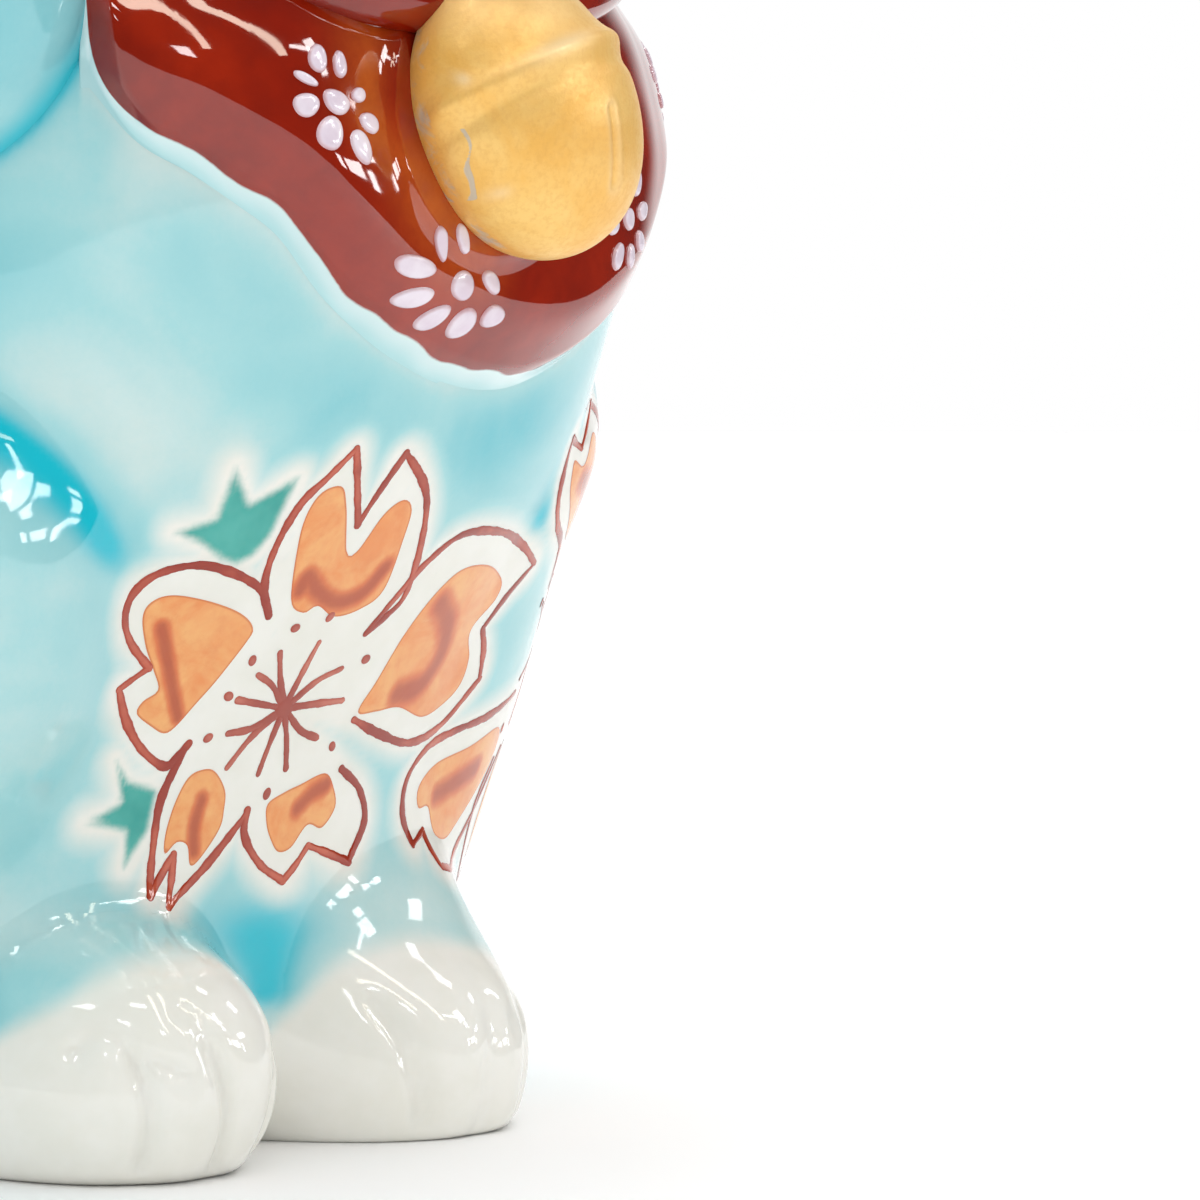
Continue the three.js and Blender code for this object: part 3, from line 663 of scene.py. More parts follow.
def mat_gold():
    m = Nodes("gold_paint")
    co = m.coords()
    grain = m.noise(2300.0, 3.0, 0.75, co)
    blot = m.noise(190.0, 4.0, 0.6, co, 0.5)
    chip = m.noise(330.0, 4.0, 0.65, co, 0.8)
    col = m.mix(m.ramp(blot, 0.30, 0.70), srgb(244, 186, 88), srgb(250, 204, 118))
    col = m.mix(m.ramp(grain, 0.42, 0.68, 0.0, 0.28), col, srgb(226, 166, 80))
    wear = m.math("ADD", m.attr("wear"), m.math("MULTIPLY", m.math("SUBTRACT", chip, 0.5), 0.55))
    lost = m.ramp(wear, 0.50, 0.62)
    # pale carries painted highlights: glints and sheen mixed into the gilding's colour as a light cream
    pale = m.attr("pale")
    col = m.mix(m.math("MULTIPLY", pale, 0.8), col, srgb(250, 222, 172))
    col = m.mix(lost, col, srgb(204, 188, 164))
    m.put(m.bsdf, "Base Color", col)
    m.put(m.bsdf, "Metallic", m.math("MULTIPLY", m.math("SUBTRACT", 1.0, lost), 0.22))
    m.put(m.bsdf, "Roughness", m.ramp(grain, 0.3, 0.75, 0.34, 0.50))
    h = m.math("ADD", m.math("MULTIPLY", grain, 0.35), m.math("MULTIPLY", lost, -1.0))
    m.bump(m.math("ADD", h, m.math("MULTIPLY", blot, 0.9)), 0.16, 0.0004)
    return m.mat


def mat_line(name, dark, mid, pale):
    """iron-red brush line: thinner and paler in the middle of the stroke, dense along its edges"""
    m = Nodes(name)
    e, s = m.attr("edge"), m.attr("along")
    co = m.coords()
    n1 = m.noise(700.0, 4.0, 0.65, co, 0.4)
    n2 = m.noise(160.0, 3.0, 0.55, co)
    col = m.mix(m.ramp(n2, 0.35, 0.65), dark, mid)
    thin = m.math("MULTIPLY", m.ramp(e, 0.15, 0.75), m.ramp(n2, 0.40, 0.70, 0.05, 0.75))
    col = m.mix(thin, col, pale)
    col = m.mix(m.ramp(n1, 0.45, 0.75, 0.0, 0.45), col, dark)
    m.put(m.bsdf, "Base Color", col)
    glaze_common(m, rough=0.07)
    return m.mat


def mat_wash():
    m = Nodes("orange_wash")
    e, d = m.attr("edge"), m.attr("dark")
    co = m.coords()
    n1 = m.noise(260.0, 5.0, 0.62, co, 0.6)
    n2 = m.noise(900.0, 3.0, 0.65, co)
    col = m.mix(m.ramp(n1, 0.30, 0.72), srgb(243, 178, 112), srgb(236, 146, 82))
    col = m.mix(m.ramp(n2, 0.42, 0.75, 0.0, 0.30), col, srgb(224, 128, 70))
    dd = m.math("ADD", d, m.math("MULTIPLY", m.math("SUBTRACT", n1, 0.5), 0.35))
    col = m.mix(m.ramp(dd, 0.22, 0.62, 0.0, 0.75), col, srgb(214, 98, 52))
    col = m.mix(m.ramp(dd, 0.52, 1.0, 0.0, 0.66), col, srgb(164, 66, 44))
    rimw = m.math("ADD", e, m.math("MULTIPLY", m.math("SUBTRACT", n1, 0.5), 0.16))
    col = m.mix(m.ramp(rimw, 0.17, 0.05, 0.0, 0.72), col, srgb(206, 104, 54))
    m.put(m.bsdf, "Base Color", col)
    glaze_common(m, rough=0.07)
    return m.mat


def mat_white_enamel():
    m = Nodes("white_enamel")
    co = m.coords()
    n1 = m.noise(420.0, 3.0, 0.6, co)
    e = m.attr("edge")
    col = m.mix(m.ramp(n1, 0.3, 0.7), srgb(236, 226, 236), srgb(222, 206, 220))
    thin = m.math("MULTIPLY", m.ramp(e, 0.30, 0.0), m.ramp(n1, 0.25, 0.75, 0.35, 0.95))
    col = m.mix(thin, col, srgb(196, 132, 132))
    m.put(m.bsdf, "Base Color", col)
    glaze_common(m, rough=0.10)
    return m.mat


def mat_plain_enamel(name, a, b, rough=0.09, scale=300.0):
    m = Nodes(name)
    n1 = m.noise(scale, 4.0, 0.6)
    m.put(m.bsdf, "Base Color", m.mix(m.ramp(n1, 0.3, 0.7), a, b))
    glaze_common(m, rough=rough)
    return m.mat


def mat_vinyl():
    m = Nodes("soft_vinyl")
    n1 = m.noise(400.0, 4.0, 0.6)
    n2 = m.noise(2500.0, 2.0, 0.6)
    m.put(m.bsdf, "Base Color", m.mix(m.ramp(n1, 0.3, 0.7), srgb(222, 219, 208), srgb(206, 202, 190)))
    m.put(m.bsdf, "Roughness", m.ramp(n2, 0.3, 0.7, 0.42, 0.58))
    m.bsdf.inputs["Subsurface Weight"].default_value = 0.2
    m.bsdf.inputs["Subsurface Scale"].default_value = 0.002
    m.bump(n2, 0.08, 0.0004)
    return m.mat


M_GLAZE = mat_porcelain()
M_RED = mat_red()
M_CORD = mat_red("red_enamel_cord", rim=False)
M_GOLD = mat_gold()
M_LINE = mat_line("iron_red_line", srgb(150, 44, 26), srgb(174, 62, 40), srgb(212, 112, 84))
M_STAMEN = mat_line("iron_red_stamen", srgb(160, 66, 52), srgb(186, 88, 70), srgb(208, 128, 108))
M_WASH = mat_wash()
M_ENAMEL = mat_white_enamel()
M_BLACK = mat_plain_enamel("black_enamel", srgb(22, 18, 18), srgb(38, 30, 28))
M_YELLOW = mat_plain_enamel("yellow_enamel", srgb(226, 178, 60), srgb(212, 158, 44))
M_ROSE = mat_plain_enamel("rose_enamel", srgb(214, 112, 96), srgb(226, 140, 118))
M_VINYL = mat_vinyl()

# ------------------------------------------------------------------ blossoms on the body
# painted by hand: outlines as (degrees round the body, height in mm)
PETAL_A = ([(-12.7, 35.6), (-14.8, 37.6), (-14.9, 40.1), (-13.3, 42.9), (-10.8, 44.6), (-8.2, 46.4), (-6.1, 43.7),
            (-4.1, 41.4), (-2.7, 43.6), (-0.9, 46.0), (4.7, 43.3), (7.7, 40.2), (9.7, 36.5), (7.8, 35.0), (5.5, 34.0)], (5, 7, 9))
PETAL_B = ([(-12.7, 35.6), (-15.4, 37.5), (-20.6, 38.8), (-24.6, 39.2), (-28.8, 38.7), (-31.3, 37.5), (-32.0, 35.9),
            (-30.9, 34.3), (-28.1, 32.6), (-31.8, 31.3), (-30.2, 29.1), (-27.5, 27.2), (-23.8, 26.0), (-21.8, 26.7),
            (-20.5, 27.4)], (8, 9))
PETAL_C = ([(-20.5, 27.4), (-22.3, 25.6), (-23.8, 23.5), (-24.3, 20.4), (-24.7, 17.5), (-22.7, 18.8), (-20.7, 20.1),
            (-20.9, 18.4), (-21.7, 16.7), (-15.0, 19.0), (-9.2, 21.7), (-7.8, 22.6)], (4, 6, 8))
PETAL_D = ([(-7.8, 22.6), (-7.6, 20.9), (-3.6, 18.9), (1.8, 17.6), (4.2, 18.6), (6.4, 19.8), (10.5, 19.2), (15.5, 18.4),
            (18.7, 21.0), (16.1, 23.2), (10.5, 24.8)], (3, 5, 7))
PETAL_E = ([(5.5, 34.0), (8.0, 36.2), (10.9, 38.6), (15.6, 40.3), (24.4, 40.2), (32.6, 39.2), (39.4, 37.6), (36.2, 35.6), (33.8, 33.4),
            (36.4, 31.8), (38.4, 29.8), (33.4, 26.9), (25.6, 26.0), (17.0, 26.9), (9.8, 28.1)], (6, 8, 10))
MAIN_CENTRE = (-5.2, 29.3)
STAMENS = [(-2.7, 33.6), (-9.0, 33.1), (-11.6, 31.7), (-13.9, 30.1), (-14.3, 27.9), (-13.2, 25.6), (-7.0, 25.0),
           (-1.6, 25.2), (3.0, 27.1), (5.9, 29.5), (3.4, 31.7)]
DOTS = [(-7.8, 34.7), (-2.5, 35.3), (-13.2, 32.7), (-15.6, 30.4), (-17.5, 27.7), (-4.4, 23.6), (7.0, 26.4), (7.6, 32.2)]
WASH_A = [(-10.2, 36.7), (-12.1, 41.0), (-11.3, 43.4), (-8.6, 44.0), (-6.8, 42.6), (-4.3, 39.7), (-2.6, 39.6), (-0.6, 42.0),
          (1.6, 42.9), (3.6, 42.2), (4.4, 40.2), (5.1, 36.9), (2.4, 35.7), (-1.8, 35.3), (-5.4, 36.1), (-7.4, 35.7)]
WASH_B = [(-29.8, 35.9), (-29.0, 36.9), (-26.5, 37.3), (-21.7, 36.8), (-17.0, 35.9), (-14.6, 34.9), (-14.9, 34.0), (-17.8, 31.7),
          (-20.4, 30.1), (-23.0, 28.6), (-24.6, 28.2), (-26.6, 28.7), (-28.9, 29.6), (-28.3, 30.4), (-26.4, 31.1), (-27.4, 32.4), (-28.9, 34.0)]
WASH_C = [(-19.7, 25.1), (-17.4, 25.6), (-15.2, 25.4), (-12.8, 24.1), (-12.4, 22.8), (-12.8, 21.5), (-15.8, 19.7), (-17.6, 19.3), (-18.4, 20.6),
          (-20.3, 20.9), (-22.2, 20.2), (-22.4, 21.4), (-21.4, 23.4)]
WASH_D = [(-3.8, 22.9), (-0.6, 23.6), (2.3, 24.0), (7.1, 24.6), (9.8, 23.6), (11.2, 22.2), (8.9, 20.9), (5.6, 21.2), (2.7, 19.8),
          (0.0, 19.6), (-2.0, 20.5), (-3.4, 21.6)]
WASH_E = [(10.2, 28.6), (11.8, 30.7), (13.8, 34.0), (16.4, 36.6), (19.8, 37.9), (26.2, 37.9), (32.4, 36.8), (33.6, 35.4), (30.8, 33.4),
          (33.6, 31.4), (34.2, 29.6), (31.8, 28.4), (26.6, 27.7), (19.4, 28.6), (14.4, 28.5)]
DARK_A = [(-9.3, 37.3), (-8.8, 38.2), (-6.6, 37.2), (-2.6, 36.3), (1.4, 36.8), (3.4, 38.4)]
DARK_B = [(-27.2, 35.2), (-26.0, 33.4), (-24.3, 31.0), (-22.9, 29.2)]
DARK_C = [(-16.8, 23.6), (-17.6, 21.8), (-17.2, 20.2)]
DARK_D = [(2.6, 22.4), (5.6, 23.4), (8.0, 23.8)]
DARK_E = [(17.6, 29.6), (22.6, 30.0), (24.8, 31.9), (22.9, 34.0), (18.6, 35.6)]
SEPAL_1 = [(-27.6, 41.4), (-23.2, 42.2), (-22.2, 45.5), (-19.6, 43.1), (-14.4, 44.8), (-15.9, 41.0), (-17.4, 39.7), (-19.4, 39.1), (-21.6, 39.5), (-24.2, 40.5)]
SEPAL_2 = [(-31.1, 26.7), (-28.9, 25.2), (-24.3, 24.5), (-25.3, 21.7), (-28.8, 19.4), (-28.8, 21.8), (-34.8, 22.6), (-29.8, 23.8)]

LINE_W = 0.64
KU = 0.53                         # mm per degree where the main blossom is painted
halo_cloud = []                   # points of the painted areas, kept white by the resist
green_polys = []                  # sprayed green sepals: (outline, mm per degree)
lines, stamens, washes = Paint(), Paint(), Paint()


def petal(surf, pts, corners, ku, seed):
    p = np.asarray(pts, float)
    cuts = [0, *corners, len(p) - 1]
    for n, (a, b) in enumerate(zip(cuts[:-1], cuts[1:])):
        sub = spline(p[a:b + 1], step=0.25, scale=(ku, 1.0))
        lines.stroke(surf, sub, LINE_W, taper=(0.85, 0.85), seed=seed + n * 1.7)


def keep_white(surf, poly, ku):
    line = spline(poly, step=0.5, scale=(ku, 1.0)) * np.array([ku, 1.0])
    lo, hi = line.min(0), line.max(0)
    gx, gy = np.meshgrid(np.arange(lo[0], hi[0], 0.7), np.arange(lo[1], hi[1], 0.7))
    g = np.stack([gx.ravel(), gy.ravel()], -1)
    g = np.concatenate([g[inside(g, line)], line]) / np.array([ku, 1.0])
    halo_cloud.append(surf(g[:, 0], g[:, 1]))


for i, (pts, corners) in enumerate((PETAL_A, PETAL_B, PETAL_C, PETAL_D, PETAL_E)):
    petal(on_body, pts, corners, KU, seed=i * 2.3)
    keep_white(on_body, list(pts) + [MAIN_CENTRE], KU)
for poly, dark, reach in ((WASH_A, DARK_A, 0.85), (WASH_B, DARK_B, 0.70), (WASH_C, DARK_C, 0.80), (WASH_D, DARK_D, 0.90), (WASH_E, DARK_E, 1.25)):
    washes.fill(on_body, poly, (KU, 1.0), dark_path=dark, reach=reach)
for i, tip in enumerate(STAMENS):
    c = np.array(MAIN_CENTRE)
    t = np.array(tip)
    bend = np.array([-(t - c)[1], (t - c)[0]]) * (0.05 * math.sin(i * 2.1))
    stamens.stroke(on_body, spline([c + (t - c) * 0.04, c + (t - c) * 0.55 + bend, t], step=0.25, scale=(KU, 1.0)),
                   0.52, taper=(1.1, 0.95), seed=i * 1.3, lift=0.045 + 0.0015 * i)
stamens.dot(on_body, MAIN_CENTRE[0], MAIN_CENTRE[1], 0.85, lift=0.075)
for i, (u, v) in enumerate(DOTS):
    stamens.dot(on_body, u, v, 0.42 + 0.08 * math.sin(i * 3.1), squash=0.8, tilt=i * 0.9)
for poly in (SEPAL_1, SEPAL_2):
    green_polys.append((np.array(poly), KU))
    keep_white(on_body, list(poly) + [poly[0]], KU)


def blossom(u0, v0, size, turn, sepals=2, seed=0.0, vmin=8.0, vmax=72.0, own=None):
    """five notched petals with washes and stamens, anywhere on the body"""
    r0 = float(skin_r(np.radians(u0), np.array(v0)))
    ku = r0 * math.pi / 180

    def at(a, b, ang):
        c, s = math.cos(ang), math.sin(ang)
        x, y = (a * c - b * s) * size, (a * s + b * c) * size
        return (u0 + x / ku, min(max(v0 + y * 0.96, vmin), vmax))
    shape = [(6.0, -4.4), (8.2, -5.7), (11.0, -5.3), (13.2, -3.6), (14.4, -1.7), (13.3, -0.9), (12.1, 0.1), (13.4, 1.0),
             (14.3, 2.0), (13.0, 3.9), (10.8, 5.4), (8.0, 5.6), (6.0, 4.4)]
    fill = [(5.6, -1.6), (7.4, -3.0), (10.0, -3.4), (12.0, -2.4), (12.3, -1.2), (10.8, 0.0), (12.0, 1.5), (11.4, 2.8), (9.4, 3.4), (7.0, 2.6), (5.6, 1.0)]
    dark = [(6.6, -1.4), (7.6, 0.2), (9.6, 0.4), (10.4, -0.6)]
    for k in range(5):
        ang = turn + k * 2 * math.pi / 5
        wob = 1 + 0.05 * math.sin(seed + k * 2.4)
        pts, corners = [at(a * wob, b * (1 + 0.06 * math.sin(seed * 2 + k)), ang) for a, b in shape], (4, 6, 8)
        wash, shade = [at(a * wob, b, ang) for a, b in fill], [at(a * wob, b, ang) for a, b in dark]
        if own and k in own:
            pts, corners, wash, shade = own[k]
        petal(on_body, pts, corners, ku, seed + k * 1.9)
        keep_white(on_body, pts + [(u0, v0)], ku)
        washes.fill(on_body, wash, (ku, 1.0), h=0.45, dark_path=shade, reach=1.1)
        for j in (-1, 0, 1):
            tip = at(4.7 + 0.5 * math.sin(seed + k * 3 + j), 0, ang + j * 0.36)
            if j == 0 or k % 2 == 0:
                stamens.stroke(on_body, spline([(u0, v0), tip], step=0.4, scale=(ku, 1.0)), 0.5, taper=(1.05, 0.95),
                               seed=seed + k + j, lift=0.045 + 0.002 * k)
        d = at(6.1, 0.5, ang + 0.33)
        stamens.dot(on_body, d[0], d[1], 0.4)
    stamens.dot(on_body, u0, v0, 0.85, lift=0.075)
    leaf = [(9.6, -0.4), (12.8, -4.2), (13.0, -1.4), (16.0, 0.2), (13.2, 1.5), (13.0, 4.4), (10.4, 1.6)]
    for k in range(sepals):
        ang = turn + (k * 2 + 0.5) * 2 * math.pi / 5
        poly = [at(a, b, ang) for a, b in leaf]
        green_polys.append((np.array(poly), ku))
        keep_white(on_body, poly + [poly[0]], ku)


SIDE_PETALS = {
    0: ([(53.0, 35.6), (46.5, 38.6), (40.5, 40.2), (36.8, 42.4), (35.4, 46.2), (39.6, 45.4), (42.6, 48.4), (48.6, 46.8), (54.0, 43.0), (58.5, 38.2)], (4, 5, 6),
        [(49.0, 38.9), (43.0, 40.9), (39.0, 42.7), (38.0, 44.6), (41.0, 44.2), (43.4, 46.4), (48.0, 44.6), (52.0, 41.4), (53.0, 39.4)],
        [(42.0, 43.2), (46.0, 42.6), (49.0, 41.0)]),
    1: ([(53.0, 28.2), (45.0, 27.0), (37.5, 26.3), (31.6, 25.4), (28.2, 23.6), (28.4, 21.2), (31.0, 18.9), (34.4, 19.7), (37.4, 17.1), (44.0, 16.9), (51.0, 19.2), (57.0, 24.2)], (6, 7, 8),
        [(50.5, 26.0), (43.0, 25.0), (36.0, 24.2), (32.2, 22.8), (33.0, 21.3), (36.2, 21.2), (38.6, 19.2), (44.0, 18.9), (50.0, 21.2), (53.5, 24.2)],
        [(38.0, 22.0), (42.5, 22.6), (47.5, 23.4)])}
blossom(61.0, 31.5, 1.30, math.radians(133), sepals=0, seed=1.0, vmin=12.0, own=SIDE_PETALS)
blossom(-104.0, 36.0, 0.92, 0.9, sepals=2, seed=2.0)
blossom(158.0, 55.0, 0.85, 0.2, sepals=2, seed=3.0)
blossom(-158.0, 30.0, 0.80, 1.1, sepals=2, seed=4.0)
blossom(112.0, 30.0, 0.70, 0.6, sepals=1, seed=5.0)

# ------------------------------------------------------------------ body and hind paws
RAISED = [[-30.5, -21.5, 75.0, 13.1], [-38.0, -25.0, 87.0, 11.2], [-43.0, -28.0, 100.0, 9.8],
          [-43.5, -30.0, 111.0, 9.6], [-41.5, -32.0, 122.0, 11.4]]
LOWERED = [[33.5, -8.0, 74.5, 11.0], [37.6, -7.5, 65.0, 10.0], [38.6, -8.5, 56.0, 9.6]]
TAIL = [[-8.0, 31.0, 8.0, 5.2], [3.0, 36.0, 9.0, 6.0], [13.5, 36.5, 15.0, 6.0], [17.0, 34.5, 25.0, 5.6], [12.5, 34.5, 33.0, 5.0]]

PH = np.radians(np.concatenate([np.arange(-180, -110, 1.75), np.arange(-110, -76, 1.2), np.arange(-76, 56, 0.52), np.arange(56, 110, 1.2), np.arange(110, 180, 1.75)]))
ZS = np.concatenate([[0, 0.12, 0.3, 0.55, 0.85, 1.2, 1.6], np.arange(2.0, 22.0, 0.38), np.arange(22.0, 62.0, 0.46), np.arange(62.0, 83.8, 0.62), [84.0]])
GP, GZ = np.meshgrid(PH, ZS)
GR = skin_r(GP, GZ)
outer = polar(GP, GZ, GR)
cols = len(PH)


def ring(r, z):
    return polar(PH, np.full(cols, float(z)), r + np.zeros(cols))


inner_rows = [ring(17.3, 84.0), ring(17.3, 78.0), ring(24.0, 77.4)]
for z in (75.0, 66.0, 54.0, 41.0, 27.0, 11.0):
    inner_rows.append(polar(PH, np.full(cols, z), torso_r(PH, z, -4.0) + 0.6 * haunch(PH, np.full(cols, z))[0]))
inner_rows += [polar(PH, np.full(cols, 7.0), torso_r(PH, 11.0, -4.0) - 3.0), ring(8.0, 7.0), ring(8.0, 3.0)]
base_rows = [ring(8.0, 3.0), ring(13.0, 3.0), ring(13.6, 0.0), polar(PH, np.zeros(cols), torso_r(PH, 0.0) - 0.05)]
stack = base_rows + [outer[i] for i in range(len(ZS))] + inner_rows
V = np.concatenate(stack)
F = grid_faces(len(stack), cols)
nb = len(base_rows)
row_of_face = F[:, 0] // cols

# glaze fields on the outer skin
flatP = outer.reshape(-1, 3)
fb, f1, f2 = [a.ravel() for a in skin_fields(GR, GP, GZ, body_r(GP, GZ))]
pawness = np.minimum(f1, f2)
phi_d = np.degrees(GP).ravel()
zz = GZ.ravel()
tq = np.ones(len(flatP))
pool = np.zeros(len(flatP))

# thigh: glaze gathers in the crease along its upper front edge
rise, rho = haunch(GP, GZ)
rise, rho = rise.ravel(), rho.ravel()
inside_mm = (1 - rho) * 21.0
crest = sstep(37.6, 41.0, zz) * sstep(130, 100, np.abs(phi_d))
broad = 0.55 + 0.45 * sstep(39.0, 45.0, zz)
lip = np.where(inside_mm > 0.7, np.exp(-(((inside_mm - 0.7) / (1.7 * broad)) ** 2)), np.exp(-(((inside_mm - 0.7) / 0.85) ** 2)))
pool = np.maximum(pool, lip * crest)
tq = tq + 0.55 * np.exp(-((np.clip(inside_mm - 1.0, 0, 99) / 3.5) ** 2)) * sstep(-2.2, -0.2, inside_mm) * crest
# shoulder creases
front = np.abs(phi_d) < 130
for st in (RAISED, LOWERED):
    near = (zz > 40) & front
    d = np.full(len(flatP), 99.0)
    d[near] = limb_distance(st, flatP[near])
    pool = np.maximum(pool, np.exp(-np.clip(d - 0.1, 0, 99) / 0.55) * 0.75)
# cleft between the paws
wide = 4.0 + 11.0 * sstep(9.5, 17.0, zz)
both = np.exp(-(((phi_d + 2.5 * sstep(9, 17, zz)) / wide) ** 2)) * sstep(8.2, 10.6, zz) * sstep(18.8, 13.4, zz)
pool = np.maximum(pool, both)
# broad cloudy passes of the spray gun
for cu, cv, su, sv, amt in ((-48, 58, 10, 7, 0.40), (-10, 50, 16, 3.2, 0.18), (-30, 63, 9, 6, -0.05), (-43, 50.5, 9, 4.5, -0.40), (-30, 47, 9, 4, -0.30),
                            (14, 47.5, 8, 3.5, 0.75), (-42, 14, 10, 4, 0.02), (-50, 26, 14, 8, -0.12), (28, 16, 12, 4, -0.12), (-5, 15, 14, 3, 0.25), (26, 46, 11, 5, 0.40), (-38, 15.8, 12, 2.6, -0.25), (60, 58, 16, 8, 0.25), (-100, 62, 16, 8, 0.25), (-47, 11.5, 7, 3, 0.40), (22, 14.8, 13, 3, -0.28)):
    tq = tq + amt * np.exp(-(((phi_d - cu) / su) ** 2) - ((zz - cv) / sv) ** 2)
# white socks, sloping down to the outside of each foot
sock_line = hermite([0, 4, 7, 9.5, 12.2, 16.1, 21.5, 25, 28.5, 34.6, 39, 45.4, 52, 60, 70, 80, 180],
                    [7.6, 8.3, 9.6, 11.1, 12.4, 13.6, 14.3, 14.5, 14.3, 13.3, 11.7, 9.6, 7.2, 4.0, 0.5, -3, -9])
sock_left = hermite([0, 4.1, 8.6, 16.3, 24.1, 29.6, 34.6, 39, 45.4, 52, 60, 70, 80, 180],
                    [7.6, 9.4, 11.5, 13.0, 13.1, 12.4, 11.5, 10.4, 8.8, 6.8, 4.0, 0.5, -3, -9])
sock_edge = sstep(-1.0, 1.1, zz - np.where(phi_d > 0, sock_left(np.abs(phi_d)), sock_line(np.abs(phi_d))))
tq *= sock_edge
pool *= sock_edge
# the glaze thins out on the body along the bib
gap_bib = np.where(np.abs(phi_d - BIB["angle"]) < bib_half(phi_d), bib_low(phi_d) - zz, 99.0)
tq *= 1 - 0.42 * np.exp(-np.clip(gap_bib, 0, 99) / 1.3) * (gap_bib > -2)
# resist: bare white around the painting
cloud = np.concatenate(halo_cloud)
zone = (zz > 10) & (zz < 74)
idx = np.where(zone)[0]
dist = np.full(len(flatP), 99.0)
cell = 3.0
keys = {}
for n, p in enumerate(cloud):
    keys.setdefault((int(p[0] // cell), int(p[1] // cell), int(p[2] // cell)), []).append(n)
arr = {k: cloud[v] for k, v in keys.items()}
for n in idx:
    p = flatP[n]
    a, b, c = int(p[0] // cell), int(p[1] // cell), int(p[2] // cell)
    best = 9.0
    for i in (-1, 0, 1):
        for j in (-1, 0, 1):
            for k in (-1, 0, 1):
                q = arr.get((a + i, b + j, c + k))
                if q is not None:
                    best = min(best, ((q - p) ** 2).sum(1).min())
    dist[n] = math.sqrt(best)
halo = np.clip((2.35 - dist) / 1.9, 0, 1) ** 1.15
tq *= 1 - halo
pool *= 1 - halo
green = np.zeros(len(flatP))
for poly, ku in green_polys:
    sc = np.array([ku, 1.0])
    lo, hi = poly.min(0) - 3, poly.max(0) + 3
    m = (phi_d > lo[0]) & (phi_d < hi[0]) & (zz > lo[1]) & (zz < hi[1])
    q = np.stack([phi_d[m], zz[m]], -1) * sc
    d = poly_distance(q, poly * sc)
    d = np.where(inside(q, poly * sc), d, -d)
    green[m] = np.maximum(green[m], sstep(-0.6, 0.8, d))
bare = np.zeros(len(flatP))


def padded(a, base, inner):
    return np.concatenate([np.full(nb * cols, base), a, np.full(len(inner_rows) * cols, inner)])


fields = dict(tq=padded(tq, 0.0, 0.0), pool=padded(pool, 0.0, 0.0), green=padded(green, 0.0, 0.0), bare=padded(bare, 1.0, 1.0))
paw_mask = np.zeros(len(V), bool)
paw_mask[nb * cols:nb * cols + len(flatP)] = (pawness < fb) & (zz < 22)
# the sole of each paw is the strip between the body's own outline and the toes
sole = np.zeros(len(V), bool)
gap0 = GR[0] - torso_r(PH, 0.0)
face_col = F[:, 0] % cols
is_sole = (row_of_face == nb - 1) & (gap0[face_col] > 0.15)
skip = (row_of_face == nb - 1) & ~is_sole & (gap0[(face_col + 1) % cols] <= 0.15) & False
paw_face = is_sole | (paw_mask[F].sum(1) >= 3)
right = np.degrees(PH)[face_col] < 0
NV = vertex_normals(V, F)
keep = np.ones(len(F), bool)
for name, sel, nodes in (("body_glazed", ~paw_face, ["body_shell"]), ("right_paw_glazed", paw_face & right, ["right_hind_paw"]),
                         ("left_paw_glazed", paw_face & ~right, ["left_hind_paw"])):
    out = compact(V, F[sel], NV, *[fields[k] for k in ("tq", "pool", "green", "bare")])
    add_mesh(name, out[0], out[1], M_GLAZE, nodes=nodes,
             floats=dict(zip(("tq", "pool", "green", "bare"), out[3:])))

lines.build("blossom_outlines", M_LINE, "glaze_red")
stamens.build("blossom_stamens", M_STAMEN, "glaze_red")
washes.build("blossom_washes", M_WASH, "glaze_red")

# ------------------------------------------------------------------ arms and tail
def toes(centre, spread, depth, start):
    def f(w, s):
        k = sstep(start, start + 0.12, s) * sstep(1.185, 1.12, s)
        out = np.zeros_like(w)
        for d in (-spread, 0.0, spread):
            x = np.arctan2(np.sin(w - centre - d), np.cos(w - centre - d))
            out -= depth * k * (np.exp(-((x / 0.085) ** 2)) + 0.5 * np.exp(-((x / 0.20) ** 2)))
        return out
    return f


def limb_piece(name, stations, node, white_from, **kw):
    v, f, s, w = limb(stations, **kw)
    r = np.hypot(v[:, 0], v[:, 1])
    phi = np.arctan2(v[:, 0], -v[:, 1])
    gap = np.where(v[:, 2] < NECK_Z, r - body_r(phi, np.clip(v[:, 2], 0, 84)), 9.0)
    under = np.clip(gap - 0.2, 0, 99)
    pool_l = np.exp(-((under / 2.0) ** 2)) * 0.75
    tq_l = (1.18 + 0.12 * np.exp(-under / 6.0)) * (1 - sstep(white_from, white_from + 0.12, s + 0.02 * np.sin(w * 2)))
    add_mesh(name, v, f, M_GLAZE, nodes=[node], floats=dict(tq=tq_l, pool=pool_l * np.clip(tq_l, 0, 1), green=0 * s, bare=0 * s))


limb_piece("raised_arm_glazed", RAISED, "raised_arm", 0.62, around=128, cap=30, shape=toes(0.0, 0.56, 0.62, 0.90))
limb_piece("lowered_arm_glazed", LOWERED, "lowered_arm", 0.66, around=128, cap=30, shape=toes(0.35, 0.56, 0.55, 0.90))
limb_piece("tail_glazed", TAIL, "tail", 0.72, ref=(0, 1, 0), around=40)

